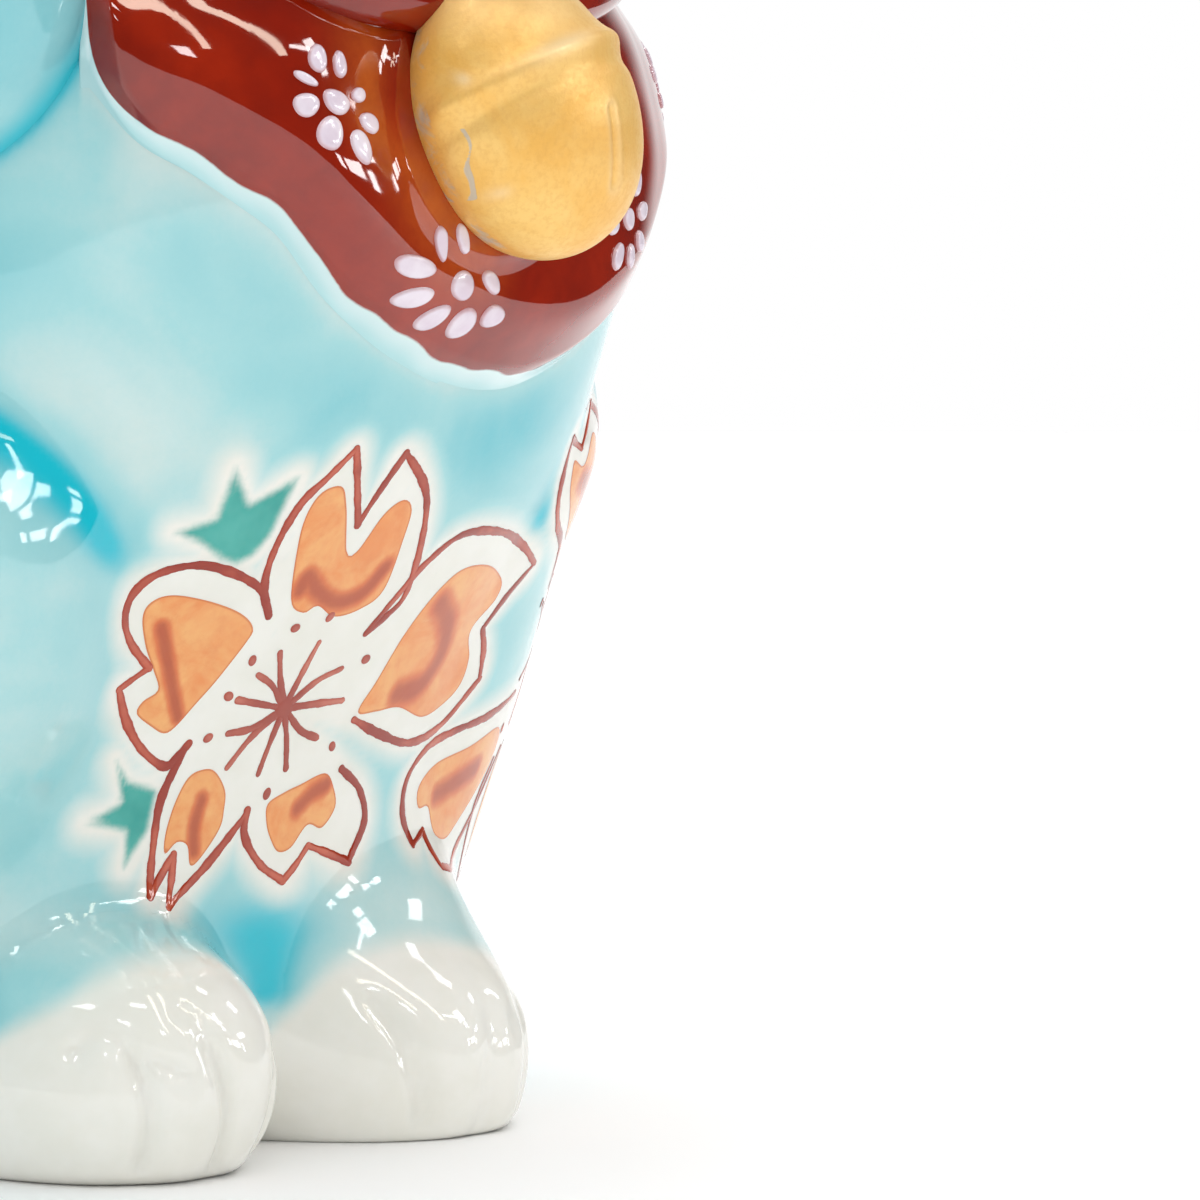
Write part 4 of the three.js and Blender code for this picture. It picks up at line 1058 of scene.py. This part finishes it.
# ------------------------------------------------------------------ bib, its flowers, collar and bow
def bib_shape(u, v):
    """radius of the bib's front and the distance from its edge; u in degrees, v height"""
    ph = np.radians(u)
    U = (u - BIB["angle"]) / bib_half(u)
    z0 = bib_low(u)
    rr = torso_r(ph, v)
    sd = (1 - np.abs(U)) * np.radians(bib_half(u)) * rr
    lw = (v - z0) * 0.82
    k = 1.2
    e = -k * np.log(np.exp(-np.clip(sd, -5, 40) / k) + np.exp(-np.clip(lw, -5, 40) / k))
    e = np.clip(e + 0.0, 0, 99)
    # low wall with a filleted foot, a bevelled border along the lower edge, and a flatter field inside it
    wall = 1.15 * sstep(0.0, 1.6, e)
    soft = lambda y, w: w * np.logaddexp(0.0, y / w)
    mid = sstep(26.0, 8.0, np.abs(u - 3.5))
    lw = np.clip(lw, -3.0, 40.0)
    pillow = (0.66 - 0.06 * mid) * (soft(lw - 1.0, 0.25) - soft(lw - 4.6 + 0.5 * mid, 0.35))
    lip = -(0.10 + 0.28 * mid) * (soft(lw - 4.6 + 0.5 * mid, 0.4) - soft(lw - 13.0 + 3.5 * mid, 1.2))
    # thinner towards the cat's left
    pillow = pillow * (1 - 0.62 * sstep(10.0, 32.0, u))
    x = rr * np.sin(ph)
    d = np.hypot(x, v - 67.5) - 9.0
    fillet = 0.5 * np.exp(-np.clip(d, 0, 99) / 0.7)
    wave = (0.07 * np.sin(U * 8.0 + 1.0) + 0.05 * np.sin(v * 0.75 + U * 4.0)) * sstep(2.0, 6.0, e)
    return rr + 0.02 + wall + pillow + lip + fillet + wave, e


nu, nv = 300, 130
uu = np.linspace(-1, 1, nu)
uu = uu * (1 + 0.25 * (1 - uu * uu)) / 1.0
uu = np.sign(uu) * np.minimum(np.abs(uu), 1.0)
vv = np.linspace(0, 1, nv) ** 1.3
BU, BV = np.meshgrid(uu, vv)
udeg = BIB["angle"] + BU * np.where(BU < 0, BIB["right"], BIB["left"])
bphi = np.radians(udeg)
zl = bib_low(udeg)
zt = collar_z(bphi) - 0.2
bz = zl + (zt - zl) * BV
bR, e = bib_shape(udeg, bz)
top = polar(bphi, bz, bR).reshape(-1, 3)
under = polar(bphi, bz, torso_r(bphi, bz) - 0.25).reshape(-1, 3)
edge_mm = (e + 0.10 * np.sin(BU * 23.0) + 0.06 * np.sin(BU * 51.0 + 1.0)).ravel()
thin_rim = 1 - 0.6 * sstep(-0.82, -0.97, BU).ravel()
rim = np.clip(1 - edge_mm / (2.1 * thin_rim), 0, 1)
# painted reflection of the gilded bell in the red enamel, kept in thin: an orange-brown band beside the bell on the
# cat's right, set back from the bell in its upper half
bell_gap = np.hypot(top[:, 0] - 0.5, top[:, 2] - 67.2) - 9.3
off = 2.8 * sstep(62.0, 69.0, top[:, 2])
thin = np.exp(-(((np.clip(bell_gap, 0, 99) - off) / np.where(bell_gap < off, 1.6, 2.6)) ** 2)) * sstep(4.0, -4.0, top[:, 0])
fq = grid_faces(nv, nu, wrap=False)
BVt = np.concatenate([top, under])
loop = np.concatenate([np.arange(nu), np.arange(1, nv) * nu + nu - 1, (nv - 1) * nu + np.arange(nu - 2, -1, -1), np.arange(nv - 2, 0, -1) * nu])
sidef = np.stack([loop, np.roll(loop, -1), np.roll(loop, -1) + nu * nv, loop + nu * nv], -1)
add_mesh("bib_enamelled", BVt, np.concatenate([fq, (fq + nu * nv)[:, ::-1], sidef[:, ::-1]]), M_RED, nodes=["bib"],
         floats=dict(rim=np.concatenate([rim, np.ones(len(under))]), thin=np.concatenate([thin, np.zeros(len(under))])))

# flowers of thick white enamel: (angle, height, long axis angle/height, short axis angle/height)
FLOWER = [
    (-19.75, 70.75, -0.08, 0.91, 0.93, 0.12), (-17.58, 70.39, 0.02, 0.89, 0.73, 0.05), (-21.19, 69.63, 1.09, -0.42, -0.23, -0.27),
    (-21.31, 67.98, 1.24, 0.01, -0.04, -0.77), (-18.42, 68.24, 1.25, -0.55, -0.60, -0.63), (-15.95, 68.62, 0.83, 0.01, -0.04, -0.49),
    (-15.01, 66.96, 0.91, -0.51, -0.59, -0.45), (-19.21, 66.15, 0.30, 1.09, 1.29, -0.15), (-16.17, 65.54, 0.59, -1.10, -0.95, -0.23),
    (-9.90, 58.05, 2.36, -0.30, -0.07, -0.73), (-8.99, 56.04, 2.01, 0.24, 0.43, -0.62), (-7.00, 59.34, -0.47, 1.19, 0.71, 0.03),
    (-4.59, 59.65, -0.36, 1.00, 0.75, 0.01), (-3.98, 56.69, 0.13, 0.97, 1.40, -0.20), (-0.45, 57.04, 0.74, -0.80, -0.97, -0.13),
    (-6.01, 54.69, 1.37, 0.68, 0.88, -0.48), (-2.45, 54.28, 0.53, 0.95, 1.37, -0.34), (0.60, 54.75, 0.75, 0.62, 1.20, -0.42)]


def bib_top(u, v):
    return polar(np.radians(u), v, bib_shape(u, v)[0])


def raised_petals(name, petals, lift=0.24):
    VV, FF_, EE = [], [], []
    base = 0
    for n, (u, v, au, av, bu, bv) in enumerate(petals):
        ring_n, rings = 28, 9
        us, vs, hs, ed = [u], [v], [lift], [1.0]
        for k in range(1, rings + 1):
            q = k / rings
            for j in range(ring_n):
                t = 2 * math.pi * j / ring_n
                egg = 1 + 0.10 * math.cos(t) + 0.04 * math.sin(3 * t + n)
                us.append(u + q * egg * (au * math.cos(t) + bu * math.sin(t)))
                vs.append(v + q * egg * (av * math.cos(t) + bv * math.sin(t)))
                hs.append(lift * math.sqrt(max(0.0, 1 - q ** 3)) - (0.05 if k == rings else 0.0))
                ed.append(1 - q)
        us, vs, hs = np.array(us), np.array(vs), np.array(hs)
        P = bib_top(us, vs)
        P = P + normals_on(bib_top, us, vs) * hs[:, None]
        VV.append(P)
        EE += ed
        FF_ += [[base, base + 1 + j, base + 1 + (j + 1) % ring_n] for j in range(ring_n)]
        for k in range(rings - 1):
            for j in range(ring_n):
                a, b = base + 1 + k * ring_n + j, base + 1 + k * ring_n + (j + 1) % ring_n
                FF_.append([a, a + ring_n, b + ring_n, b])
        base += len(P)
    add_mesh(name, np.concatenate(VV), FF_, M_ENAMEL, floats=dict(edge=EE))


def far_flower(u, v, size=1.0, turn=0.0):
    out = [(u, v, 1.1 * size, 0.1, -0.1, 0.8 * size)]
    for k in range(8):
        a = turn + k * math.pi / 4
        s = size * (1 + 0.12 * math.sin(k * 2.7))
        c, q = math.cos(a), math.sin(a)
        out.append((u + 3.4 * s * c, v + 2.7 * s * q, 1.25 * s * c, 1.0 * s * q, -0.85 * s * q, 0.68 * s * c))
    return out


raised_petals("bib_flowers", FLOWER + far_flower(20.6, 60.9, 0.95, 0.2) + far_flower(41.0, 69.8, 0.85, 0.5))

tw = np.linspace(0, 2 * math.pi, 320, endpoint=False)
cw = np.linspace(0, 2 * math.pi, 28, endpoint=False)
CT, CW = np.meshgrid(tw, cw, indexing="ij")
cz = collar_z(CT)
cr = torso_r(CT, cz) + 2.3
roll = 2.3 * (1 + 0.035 * np.sin(CT * 9 + 0.6) + 0.03 * np.sin(CT * 17))
add_mesh("collar_roll", polar(CT, cz + roll * np.sin(CW), cr + roll * np.cos(CW)).reshape(-1, 3), np.concatenate([
    grid_faces(320, 28), np.stack([(319 * 28 + np.arange(28)), (319 * 28 + (np.arange(28) + 1) % 28), (np.arange(28) + 1) % 28, np.arange(28)], -1)]),
    M_CORD, nodes=["collar_cord"], flip=True)

nape_z = float(collar_z(np.array(math.pi)))
nape_r = float(torso_r(np.array(math.pi), nape_z)) + 2.3
bowv, bowf, cnt = [], [], 0
for s in (1, -1):
    for st, fl in (([[s * 1.5, nape_r + 4.2, nape_z, 2.6], [s * 7.5, nape_r + 4.6, nape_z + 2.2, 4.6], [s * 13.5, nape_r + 2.6, nape_z + 2.6, 3.4]], (1, 0.62)),
                   ([[s * 1.0, nape_r + 4.2, nape_z - 1.0, 2.2], [s * 4.5, nape_r + 4.6, nape_z - 7.0, 2.6], [s * 7.5, nape_r + 5.0, nape_z - 13.0, 2.4]], (1, 0.6))):
        def crease(w, q):
            return -0.55 * np.exp(-((np.arctan2(np.sin(w), np.cos(w)) / 0.35) ** 2)) * np.clip(1 - abs(q - 0.45) * 1.6, 0, 1) + 0.10 * np.sin(w * 3)
        v, f, _, _ = limb(st, ref=(0, 1, 0), flat=fl, around=36, along=30, cap=8, shape=crease)
        bowv.append(v)
        bowf.append(f + cnt)
        cnt += len(v)
la = np.linspace(math.pi / 2, -math.pi / 2, 25)
lo_ = np.linspace(0, 2 * math.pi, 36, endpoint=False)
LA, LO = np.meshgrid(la, lo_, indexing="ij")
knot = np.stack([3.4 * np.cos(LA) * np.sin(LO), nape_r + 4.8 - (2.9 + 0.15 * np.sin(LO * 5)) * np.cos(LA) * np.cos(LO), nape_z + 3.6 * np.sin(LA)], -1).reshape(-1, 3)
bowv.append(knot)
bowf.append(grid_faces(25, 36)[:, ::-1] + cnt)
add_mesh("bow_enamelled", np.concatenate(bowv), np.concatenate(bowf), M_CORD, nodes=["bow"])

# ------------------------------------------------------------------ bell
seat = float(torso_r(np.array(0.0), 67.5)) + 2.6
lean = math.radians(3.0)
out_v = np.array([0, -math.cos(lean), math.sin(lean)])
up_v = np.array([0, out_v[2], -out_v[1]])
gl = np.linspace(0, 0.5 * math.pi * 1.16, 140)
ga = np.linspace(0, 2 * math.pi, 300, endpoint=False)
GL, GA = np.meshgrid(gl, ga, indexing="ij")
ex, ey, ez = np.sin(GL) * np.sin(GA), np.sin(GL) * np.cos(GA), np.cos(GL)
# soft bead round the middle, rising to one side; below it the mouth slot
bt = ey - (0.2055 + 0.241 * ex + 0.26 * ez)
bead = 0.44 * np.exp(-((bt / 0.080) ** 2)) - 0.12 * np.exp(-(((bt - 0.21) / 0.10) ** 2)) - 0.20 * np.exp(-(((bt + 0.17) / 0.075) ** 2))
slot_d = np.hypot(ex - 0.16, np.clip(bt + 0.50, 0, 9) + np.clip(-0.95 - bt, 0, 9))
mouth = -0.13 * np.exp(-((slot_d / 0.030) ** 2)) + 0.08 * np.exp(-(((slot_d - 0.07) / 0.04) ** 2))
dent = 0.10 * np.sin(3.1 * ex + 2.0 * ey) + 0.07 * np.sin(5.0 * ey - 2.0 * ez)
kk = 1 + (bead * sstep(1.75, 1.35, GL) + mouth + dent * 0.6) / 9.2
bellP = (np.array([1.1, -seat, 67.5]) + (ex * kk * 9.0 - 1.8 * ey)[..., None] * np.array([1.0, 0, 0])
         + ey[..., None] * kk[..., None] * 9.2 * up_v + ez[..., None] * kk[..., None] * 6.2 * out_v)
# where the gilding is rubbed: the rim next to the chest and one long scrape
cam_side = np.stack([ex, ey, ez], -1)
wear = 0.52 * sstep(1.36, 1.58, GL)
scrape = spline([(-0.94, -0.12), (-0.905, -0.22), (-0.895, -0.36), (-0.85, -0.47), (-0.80, -0.58)], step=0.02)
wear = np.maximum(wear, 0.66 * np.exp(-((path_distance(np.stack([ex, ey], -1).reshape(-1, 2), scrape).reshape(ex.shape) / (0.017 + 0.004 * np.sin(ey * 27.0))) ** 2)))
# painted highlights on the gilding, kept in pale: two small glints on the cat's right side of the bell, a pale line
# along the mouth slot, a broad sheen along the top of the bead and a lighter top
pale = (0.8 * np.exp(-((ex + 0.89) / 0.035) ** 2 - ((ey - 0.22) / 0.05) ** 2) + 0.6 * np.exp(-((ex + 0.72) / 0.06) ** 2 - ((ey + 0.55) / 0.05) ** 2)
        + 0.30 * np.exp(-((slot_d - 0.05) / 0.035) ** 2) + 0.85 * np.exp(-((ex + 0.20) / 0.34) ** 2 - ((bt - 0.03) / 0.07) ** 2) + 0.35 * sstep(0.35, 0.85, ey))
add_mesh("bell_gilded", bellP.reshape(-1, 3), grid_faces(140, 300), M_GOLD, nodes=["bell"],
         floats=dict(wear=np.clip(wear, 0, 1).ravel(), pale=np.clip(pale, 0, 1).ravel()))

# ------------------------------------------------------------------ head
HEAD = dict(y=-4.0, z=108.0, a=38.0, b=33.0, c=31.0)
EARS = dict(p0=(18.5, -4.0, 121.0), p1=(25.5, -3.0, 149.0), r0=15.5, r1=3.0, flat=0.8)


def head_field(x, y, z):
    Z = z - HEAD["z"]
    Y = y - HEAD["y"]
    X = x / (1 - 0.10 * np.clip(Z / HEAD["c"], 0, 1) ** 2)
    pad = np.exp(-(((np.abs(X) - 5.5) / 6.5) ** 2) - ((Z + 9.5) / 6.0) ** 2) * np.clip(-Y / 8, 0, 1)
    cheek = np.exp(-(((np.abs(X) - 26.0) / 10.0) ** 2) - ((Z + 12.0) / 9.0) ** 2) * np.clip(-Y / 10 + 0.6, 0, 1)
    brow = np.exp(-(((np.abs(X) - 13.0) / 8.0) ** 2) - ((Z - 3.0) / 6.0) ** 2) * np.clip(-Y / 8, 0, 1)
    plan = ((np.abs(X) / HEAD["a"]) ** 2.3 + (np.abs(Y) / HEAD["b"]) ** 2.3) ** (1 / 2.3)
    F_ = (plan ** 2.35 + (np.abs(Z) / HEAD["c"]) ** 2.35) ** (1 / 2.35)
    d = (F_ - 1) * 31.0 - 3.0 * pad - 1.0 * cheek + 0.5 * brow
    out = np.exp(-np.clip(d, -40, 40) / 1.6)
    for s in (1, -1):
        p0, p1 = np.array(EARS["p0"]) * [s, 1, 1], np.array(EARS["p1"]) * [s, 1, 1]
        T = p1 - p0
        L = np.linalg.norm(T)
        T = T / L
        e1 = np.array([0, -1.0, 0])
        e1 = e1 - T * e1.dot(T)
        e1 /= np.linalg.norm(e1)
        e2 = np.cross(T, e1)
        qx, qy, qz = x - p0[0], y - p0[1], z - p0[2]
        t = np.clip((qx * T[0] + qy * T[1] + qz * T[2]) / L, 0, 1)
        cx, cy, cz_ = qx - T[0] * t * L, qy - T[1] * t * L, qz - T[2] * t * L
        a1 = cx * e1[0] + cy * e1[1] + cz_ * e1[2]
        a2 = cx * e2[0] + cy * e2[1] + cz_ * e2[2]
        a3 = cx * T[0] + cy * T[1] + cz_ * T[2]
        r = EARS["r0"] + (EARS["r1"] - EARS["r0"]) * t
        de = (np.sqrt((a1 / EARS["flat"]) ** 2 + a2 ** 2 + (a3 / EARS["flat"]) ** 2) - r) * 0.6
        dish = np.exp(-((a2 / (0.55 * r)) ** 2)) * sstep(0.25, 0.5, t) * sstep(1.0, 0.7, t) * np.clip(a1 / 2, 0, 1)
        out = out + np.exp(-np.clip(de + 1.7 * dish, -40, 40) / 1.3)
    return -1.5 * np.log(out)


HN, HM = 330, 200
lon = np.linspace(-math.pi, math.pi, HN, endpoint=False)
lat = np.linspace(math.pi / 2, -math.pi / 2, HM)
LT, LN = np.meshgrid(lat, lon, indexing="ij")
dirs = np.stack([np.cos(LT) * np.sin(LN), -np.cos(LT) * np.cos(LN), np.sin(LT)], -1)
hc = np.array([0, HEAD["y"], HEAD["z"]])
lo_r, hi_r, got = np.full(LT.shape, 5.0), np.full(LT.shape, 62.0), np.zeros(LT.shape, bool)
for s in np.arange(61.0, 12.0, -0.8):
    q = hc + dirs * s
    new = (head_field(q[..., 0], q[..., 1], q[..., 2]) < 0) & ~got
    lo_r = np.where(new, s, lo_r)
    hi_r = np.where(new, s + 0.8, hi_r)
    got |= new
for _ in range(13):
    mid_r = (lo_r + hi_r) / 2
    q = hc + dirs * mid_r[..., None]
    v = head_field(q[..., 0], q[..., 1], q[..., 2])
    lo_r = np.where(v < 0, mid_r, lo_r)
    hi_r = np.where(v < 0, hi_r, mid_r)
HR = (lo_r + hi_r) / 2
floor_r = np.where(dirs[..., 2] < -0.05, (83.6 - HEAD["z"]) / np.minimum(dirs[..., 2], -0.05), 1e9)
HR = np.minimum(HR, floor_r)
HP = (hc + dirs * HR[..., None]).reshape(-1, 3)
x_, y_, z_ = HP[:, 0], HP[:, 1] - HEAD["y"], HP[:, 2] - HEAD["z"]
# white face in a turquoise hood; the glaze gathers at the neck
face = np.sqrt((x_ / 27.0) ** 2 + ((z_ + 5.0) / 21.0) ** 2)
tq_h = 1 - (1 - sstep(0.86, 1.12, face)) * sstep(4, -8, y_)
ear_in = np.zeros(len(HP))
pool_h = np.exp(-np.clip(HP[:, 2] - 84.2, 0, 99) / 1.6) * 0.7
tq_h = tq_h * 1.15
add_mesh("head_glazed", HP, grid_faces(HM, HN), M_GLAZE, nodes=["head_shell"],
         floats=dict(tq=tq_h, pool=pool_h * np.clip(tq_h, 0, 1), green=0 * tq_h, bare=0 * tq_h), flip=True)


def on_face(u, v):
    """front of the head: across, height"""
    u, v = np.broadcast_arrays(np.asarray(u, float), np.asarray(v, float))
    lo_y, hi_y = np.full(u.shape, -60.0), np.full(u.shape, -60.0)
    hit = np.zeros(u.shape, bool)
    for s in np.arange(-60.0, 10.0, 0.6):
        new = (head_field(u, np.full(u.shape, s), v) < 0) & ~hit
        hi_y = np.where(new, s, hi_y)
        lo_y = np.where(new, s - 0.6, lo_y)
        hit |= new
    for _ in range(14):
        m = (lo_y + hi_y) / 2
        f = head_field(u, m, v)
        hi_y = np.where(f < 0, m, hi_y)
        lo_y = np.where(f < 0, lo_y, m)
    return np.stack([u, (lo_y + hi_y) / 2, v], -1)


def mirror(pts, s):
    return [(s * a, b) for a, b in pts]


black, yellow, rose, brow = Paint(), Paint(), Paint(), Paint()
for s in (1, -1):
    eye = mirror([(7.2, 106.2), (9.5, 109.2), (13.5, 110.8), (17.6, 109.8), (19.8, 107.2), (17.4, 104.8), (13.4, 103.6), (9.6, 104.4)], s)
    yellow.fill(on_face, eye, (1.0, 1.0), h=0.6, lift=0.05)
    pupil = mirror([(13.4 + 2.3 * math.cos(t), 107.2 + 3.3 * math.sin(t)) for t in np.linspace(0, 2 * math.pi, 14, endpoint=False)], s)
    black.fill(on_face, pupil, (1.0, 1.0), h=0.5, lift=0.10)
    black.stroke(on_face, spline(mirror([(6.4, 105.8), (9.5, 109.4), (13.5, 111.1), (17.8, 110.0), (20.6, 107.0)], s), step=0.4), 0.95, taper=(0.5, 0.4), lift=0.09)
    black.stroke(on_face, spline(mirror([(19.6, 106.8), (17.2, 104.6), (13.4, 103.4), (9.4, 104.2), (7.0, 106.0)], s), step=0.4), 0.5, taper=(0.5, 0.5), lift=0.08)
    for k, (a, b) in enumerate((((13.5, 98.6), (29.0, 101.8)), ((13.8, 96.2), (29.6, 96.6)), ((13.2, 93.9), (28.2, 91.6)))):
        midp = ((a[0] + b[0]) / 2, (a[1] + b[1]) / 2 + 0.9)
        brow.stroke(on_face, spline(mirror([a, midp, b], s), step=0.5), 0.55, taper=(0.9, 0.3), seed=k, lift=0.05)
    brow.stroke(on_face, spline(mirror([(9.4, 115.4), (13.6, 117.2), (18.2, 116.0)], s), step=0.5), 0.9, taper=(0.4, 0.4), lift=0.05)
    for k, (a, b) in enumerate(((6.6, 97.6), (8.9, 96.0), (6.4, 94.9))):
        brow.dot(on_face, s * a, b, 0.38)
    brow.stroke(on_face, spline(mirror([(0.0, 97.4), (0.2, 95.0), (2.6, 92.6), (6.0, 92.8), (8.0, 94.4)], s), step=0.35), 0.7, taper=(0.8, 0.4), lift=0.05)
    inner = mirror([(18.6, 134.6), (20.6, 138.4), (23.0, 142.4), (24.5, 144.8), (25.6, 141.6), (26.7, 137.6), (26.8, 134.8), (22.6, 133.6)], s)
    rose.fill(on_face, inner, (1.0, 1.0), h=0.5, lift=0.22)
rose.fill(on_face, [(-3.0, 99.8), (0.0, 100.4), (3.0, 99.8), (2.0, 98.0), (0.0, 96.9), (-2.0, 98.0)], (1.0, 1.0), h=0.5, lift=0.06)
black.build("face_black", M_BLACK, "glaze_red")
yellow.build("face_irises", M_YELLOW, "gold")
rose.build("face_rose", M_ROSE, "glaze_red")
brow.build("face_lines", M_LINE, "glaze_red")

# ------------------------------------------------------------------ stopper keeps its CAD shape
st = NODES["base_stopper"]
st.data.materials.clear()
st.data.materials.append(M_VINYL)

# ------------------------------------------------------------------ stage, light and camera
def mat_floor():
    m = Nodes("pale_floor")
    n = m.noise(6.0, 3.0, 0.5)
    m.put(m.bsdf, "Base Color", m.mix(m.ramp(n, 0.2, 0.8), (0.96, 0.96, 0.96, 1), (0.975, 0.975, 0.975, 1)))
    m.bsdf.inputs["Roughness"].default_value = 0.6
    return m.mat


VIEW_AZ = -50.0
_va = math.radians(VIEW_AZ)
TOWARDS = np.array([math.sin(_va), -math.cos(_va), 0.0])      # from the object to the camera, level
SIDE = np.array([math.cos(_va), math.sin(_va), 0.0])
me = bpy.data.meshes.new("floor")
NEAR, WIDE, FAR = 0.20, 0.40, 1.3          # a small white table
corners = [TOWARDS * NEAR - SIDE * WIDE, TOWARDS * NEAR + SIDE * WIDE, -TOWARDS * FAR + SIDE * WIDE, -TOWARDS * FAR - SIDE * WIDE]
me.from_pydata([tuple(c) for c in corners], [], [(0, 1, 2, 3)])
floor = bpy.data.objects.new("floor", me)
bpy.context.scene.collection.objects.link(floor)
me.materials.append(mat_floor())

scene = bpy.context.scene
world = bpy.data.worlds.new("studio")
scene.world = world
world.use_nodes = True
wt = world.node_tree
wt.nodes.clear()
outw = wt.nodes.new("ShaderNodeOutputWorld")
bg = wt.nodes.new("ShaderNodeBackground")
lp = wt.nodes.new("ShaderNodeLightPath")
tc = wt.nodes.new("ShaderNodeTexCoord")
dotn = wt.nodes.new("ShaderNodeVectorMath")
dotn.operation = "DOT_PRODUCT"
wt.links.new(tc.outputs["Generated"], dotn.inputs[0])
dotn.inputs[1].default_value = tuple(TOWARDS)


def wmath(op, a, b):
    n = wt.nodes.new("ShaderNodeMath")
    n.operation = op
    for i, x in enumerate((a, b)):
        if hasattr(x, "is_output"):
            wt.links.new(x, n.inputs[i])
        else:
            n.inputs[i].default_value = x
    return n.outputs[0]


def wrange(x, a, b, lo_, hi_):
    n = wt.nodes.new("ShaderNodeMapRange")
    n.interpolation_type = "SMOOTHSTEP"
    wt.links.new(x, n.inputs[0])
    for i, val in enumerate((a, b, lo_, hi_)):
        n.inputs[i + 1].default_value = val
    return n.outputs[0]


# white sweep behind the object, a dim room behind the camera; even soft light for everything else
seen = wrange(dotn.outputs["Value"], -0.95, -0.80, 1.0, 0.06)
gl_ = wmath("MULTIPLY", lp.outputs["Is Glossy Ray"], seen)
cam_ = lp.outputs["Is Camera Ray"]
rest_ = wmath("SUBTRACT", 1.0, wmath("MAXIMUM", cam_, lp.outputs["Is Glossy Ray"]))
level = wmath("ADD", wmath("ADD", gl_, cam_), wmath("MULTIPLY", rest_, 0.63))
wt.links.new(level, bg.inputs["Strength"])
bg.inputs["Color"].default_value = (1, 1, 1, 1)
wt.links.new(bg.outputs[0], outw.inputs[0])

CENTRE = (AXIS + np.array([0.0, 0.0, 60.0])) * 0.001


def lamp(name, az, el, dist, sx, sy, watts, color=(1, 1, 1), roll=0.0):
    a, e = math.radians(az), math.radians(el)
    back = Vector((math.sin(a) * math.cos(e), -math.cos(a) * math.cos(e), math.sin(e)))
    ld = bpy.data.lights.new(name, "AREA")
    ld.shape = "RECTANGLE"
    ld.size, ld.size_y = sx, sy
    ld.energy = watts
    ld.color = color
    ob = bpy.data.objects.new(name, ld)
    bpy.context.scene.collection.objects.link(ob)
    ob.location = Vector(CENTRE) + back * dist
    ob.rotation_mode = "QUATERNION"
    ob.rotation_quaternion = back.to_track_quat("Z", "Y") @ Quaternion((0, 0, 1), math.radians(roll))
    ob.visible_camera = False
    return ob


roof_l = bpy.data.lights.new("roof_soft", "SUN")
roof_l.energy = 2.1
roof_l.angle = math.radians(100.0)
roof = bpy.data.objects.new("roof_soft", roof_l)
bpy.context.scene.collection.objects.link(roof)
roof.rotation_mode = "QUATERNION"
_ra, _re = math.radians(140.0), math.radians(74.0)
roof.rotation_quaternion = Vector((math.sin(_ra) * math.cos(_re), -math.cos(_ra) * math.cos(_re), math.sin(_re))).to_track_quat("Z", "Y")
roof.visible_glossy = False
fill_l = bpy.data.lights.new("front_soft", "SUN")
fill_l.energy = 0.62
fill_l.angle = math.radians(90.0)
fill = bpy.data.objects.new("front_soft", fill_l)
bpy.context.scene.collection.objects.link(fill)
fill.rotation_mode = "QUATERNION"
_fa, _fe = math.radians(-45.0), math.radians(16.0)
fill.rotation_quaternion = Vector((math.sin(_fa) * math.cos(_fe), -math.cos(_fa) * math.cos(_fe), math.sin(_fe))).to_track_quat("Z", "Y")
fill.visible_glossy = False
# small panels round the room: they only show as reflections in the glaze
for i, (az, el, sx, sy, glow, roll) in enumerate((
        (-94, 50, 0.16, 0.06, 11.0, 0), (-62, 36, 0.09, 0.09, 11.0, 0), (-40, 60, 0.18, 0.05, 11.0, 0), (-20, 32, 0.06, 0.10, 11.0, 0),
        (-11, 52, 0.034, 0.46, 9.0, 0), (9, 48, 0.040, 0.50, 9.0, 0),
        (23, 32, 0.20, 0.030, 12.0, -20), (33, 30, 0.10, 0.13, 11.0, 0), (35, 21, 0.06, 0.07, 12.0, 0), (38, 6, 0.10, 0.07, 11.0, 0), (45, 4, 0.028, 0.08, 12.0, 0),
        (30, 6, 0.045, 0.08, 12.0, 0), (50, 12, 0.12, 0.05, 12.0, 0), (66, 28, 0.07, 0.10, 8.0, 0), (61, 46, 0.07, 0.08, 8.0, 0),
        (-120, 32, 0.07, 0.15, 11.0, 0), (-84, 76, 0.14, 0.11, 11.0, 0), (104, 46, 0.16, 0.06, 11.0, 0),
        (142, 38, 0.10, 0.10, 11.0, 0), (-152, 42, 0.14, 0.06, 11.0, 0), (178, 58, 0.16, 0.06, 11.0, 0))):
    warm = (1.0, 0.88, 0.72) if sy > 0.4 else (1, 1, 1)
    ob = lamp(f"panel_{i}", az, el, 0.75, sx, sy, glow * math.pi * sx * sy, warm, roll)
    ob.visible_diffuse = False

# the photograph's view: 50 degrees to the cat's right of its front, slightly from above
az, el, dist, scale, x0, y0 = VIEW_AZ, 3.5, 450.0, 14.7, 6.0, 1115.0
a, e = math.radians(az), math.radians(el)
back = np.array([math.sin(a) * math.cos(e), -math.cos(a) * math.cos(e), math.sin(e)])
rgt = np.array([math.cos(a), math.sin(a), 0.0])
upv = np.cross(back, rgt)
target = rgt * ((600 - x0) / scale) + upv * ((y0 - 600) / scale)
cam = bpy.data.cameras.new("photo_view")
cam.sensor_width = 36.0
cam.lens = 36.0 * scale * dist / 1200.0
cam.clip_start, cam.clip_end = 0.01, 50.0
cob = bpy.data.objects.new("photo_view", cam)
bpy.context.scene.collection.objects.link(cob)
cob.location = Vector((target + back * dist + AXIS) * 0.001)
cob.rotation_mode = "QUATERNION"
cob.rotation_quaternion = Vector(-back).to_track_quat("-Z", "Y")
scene.camera = cob
scene.view_settings.view_transform = "Standard"
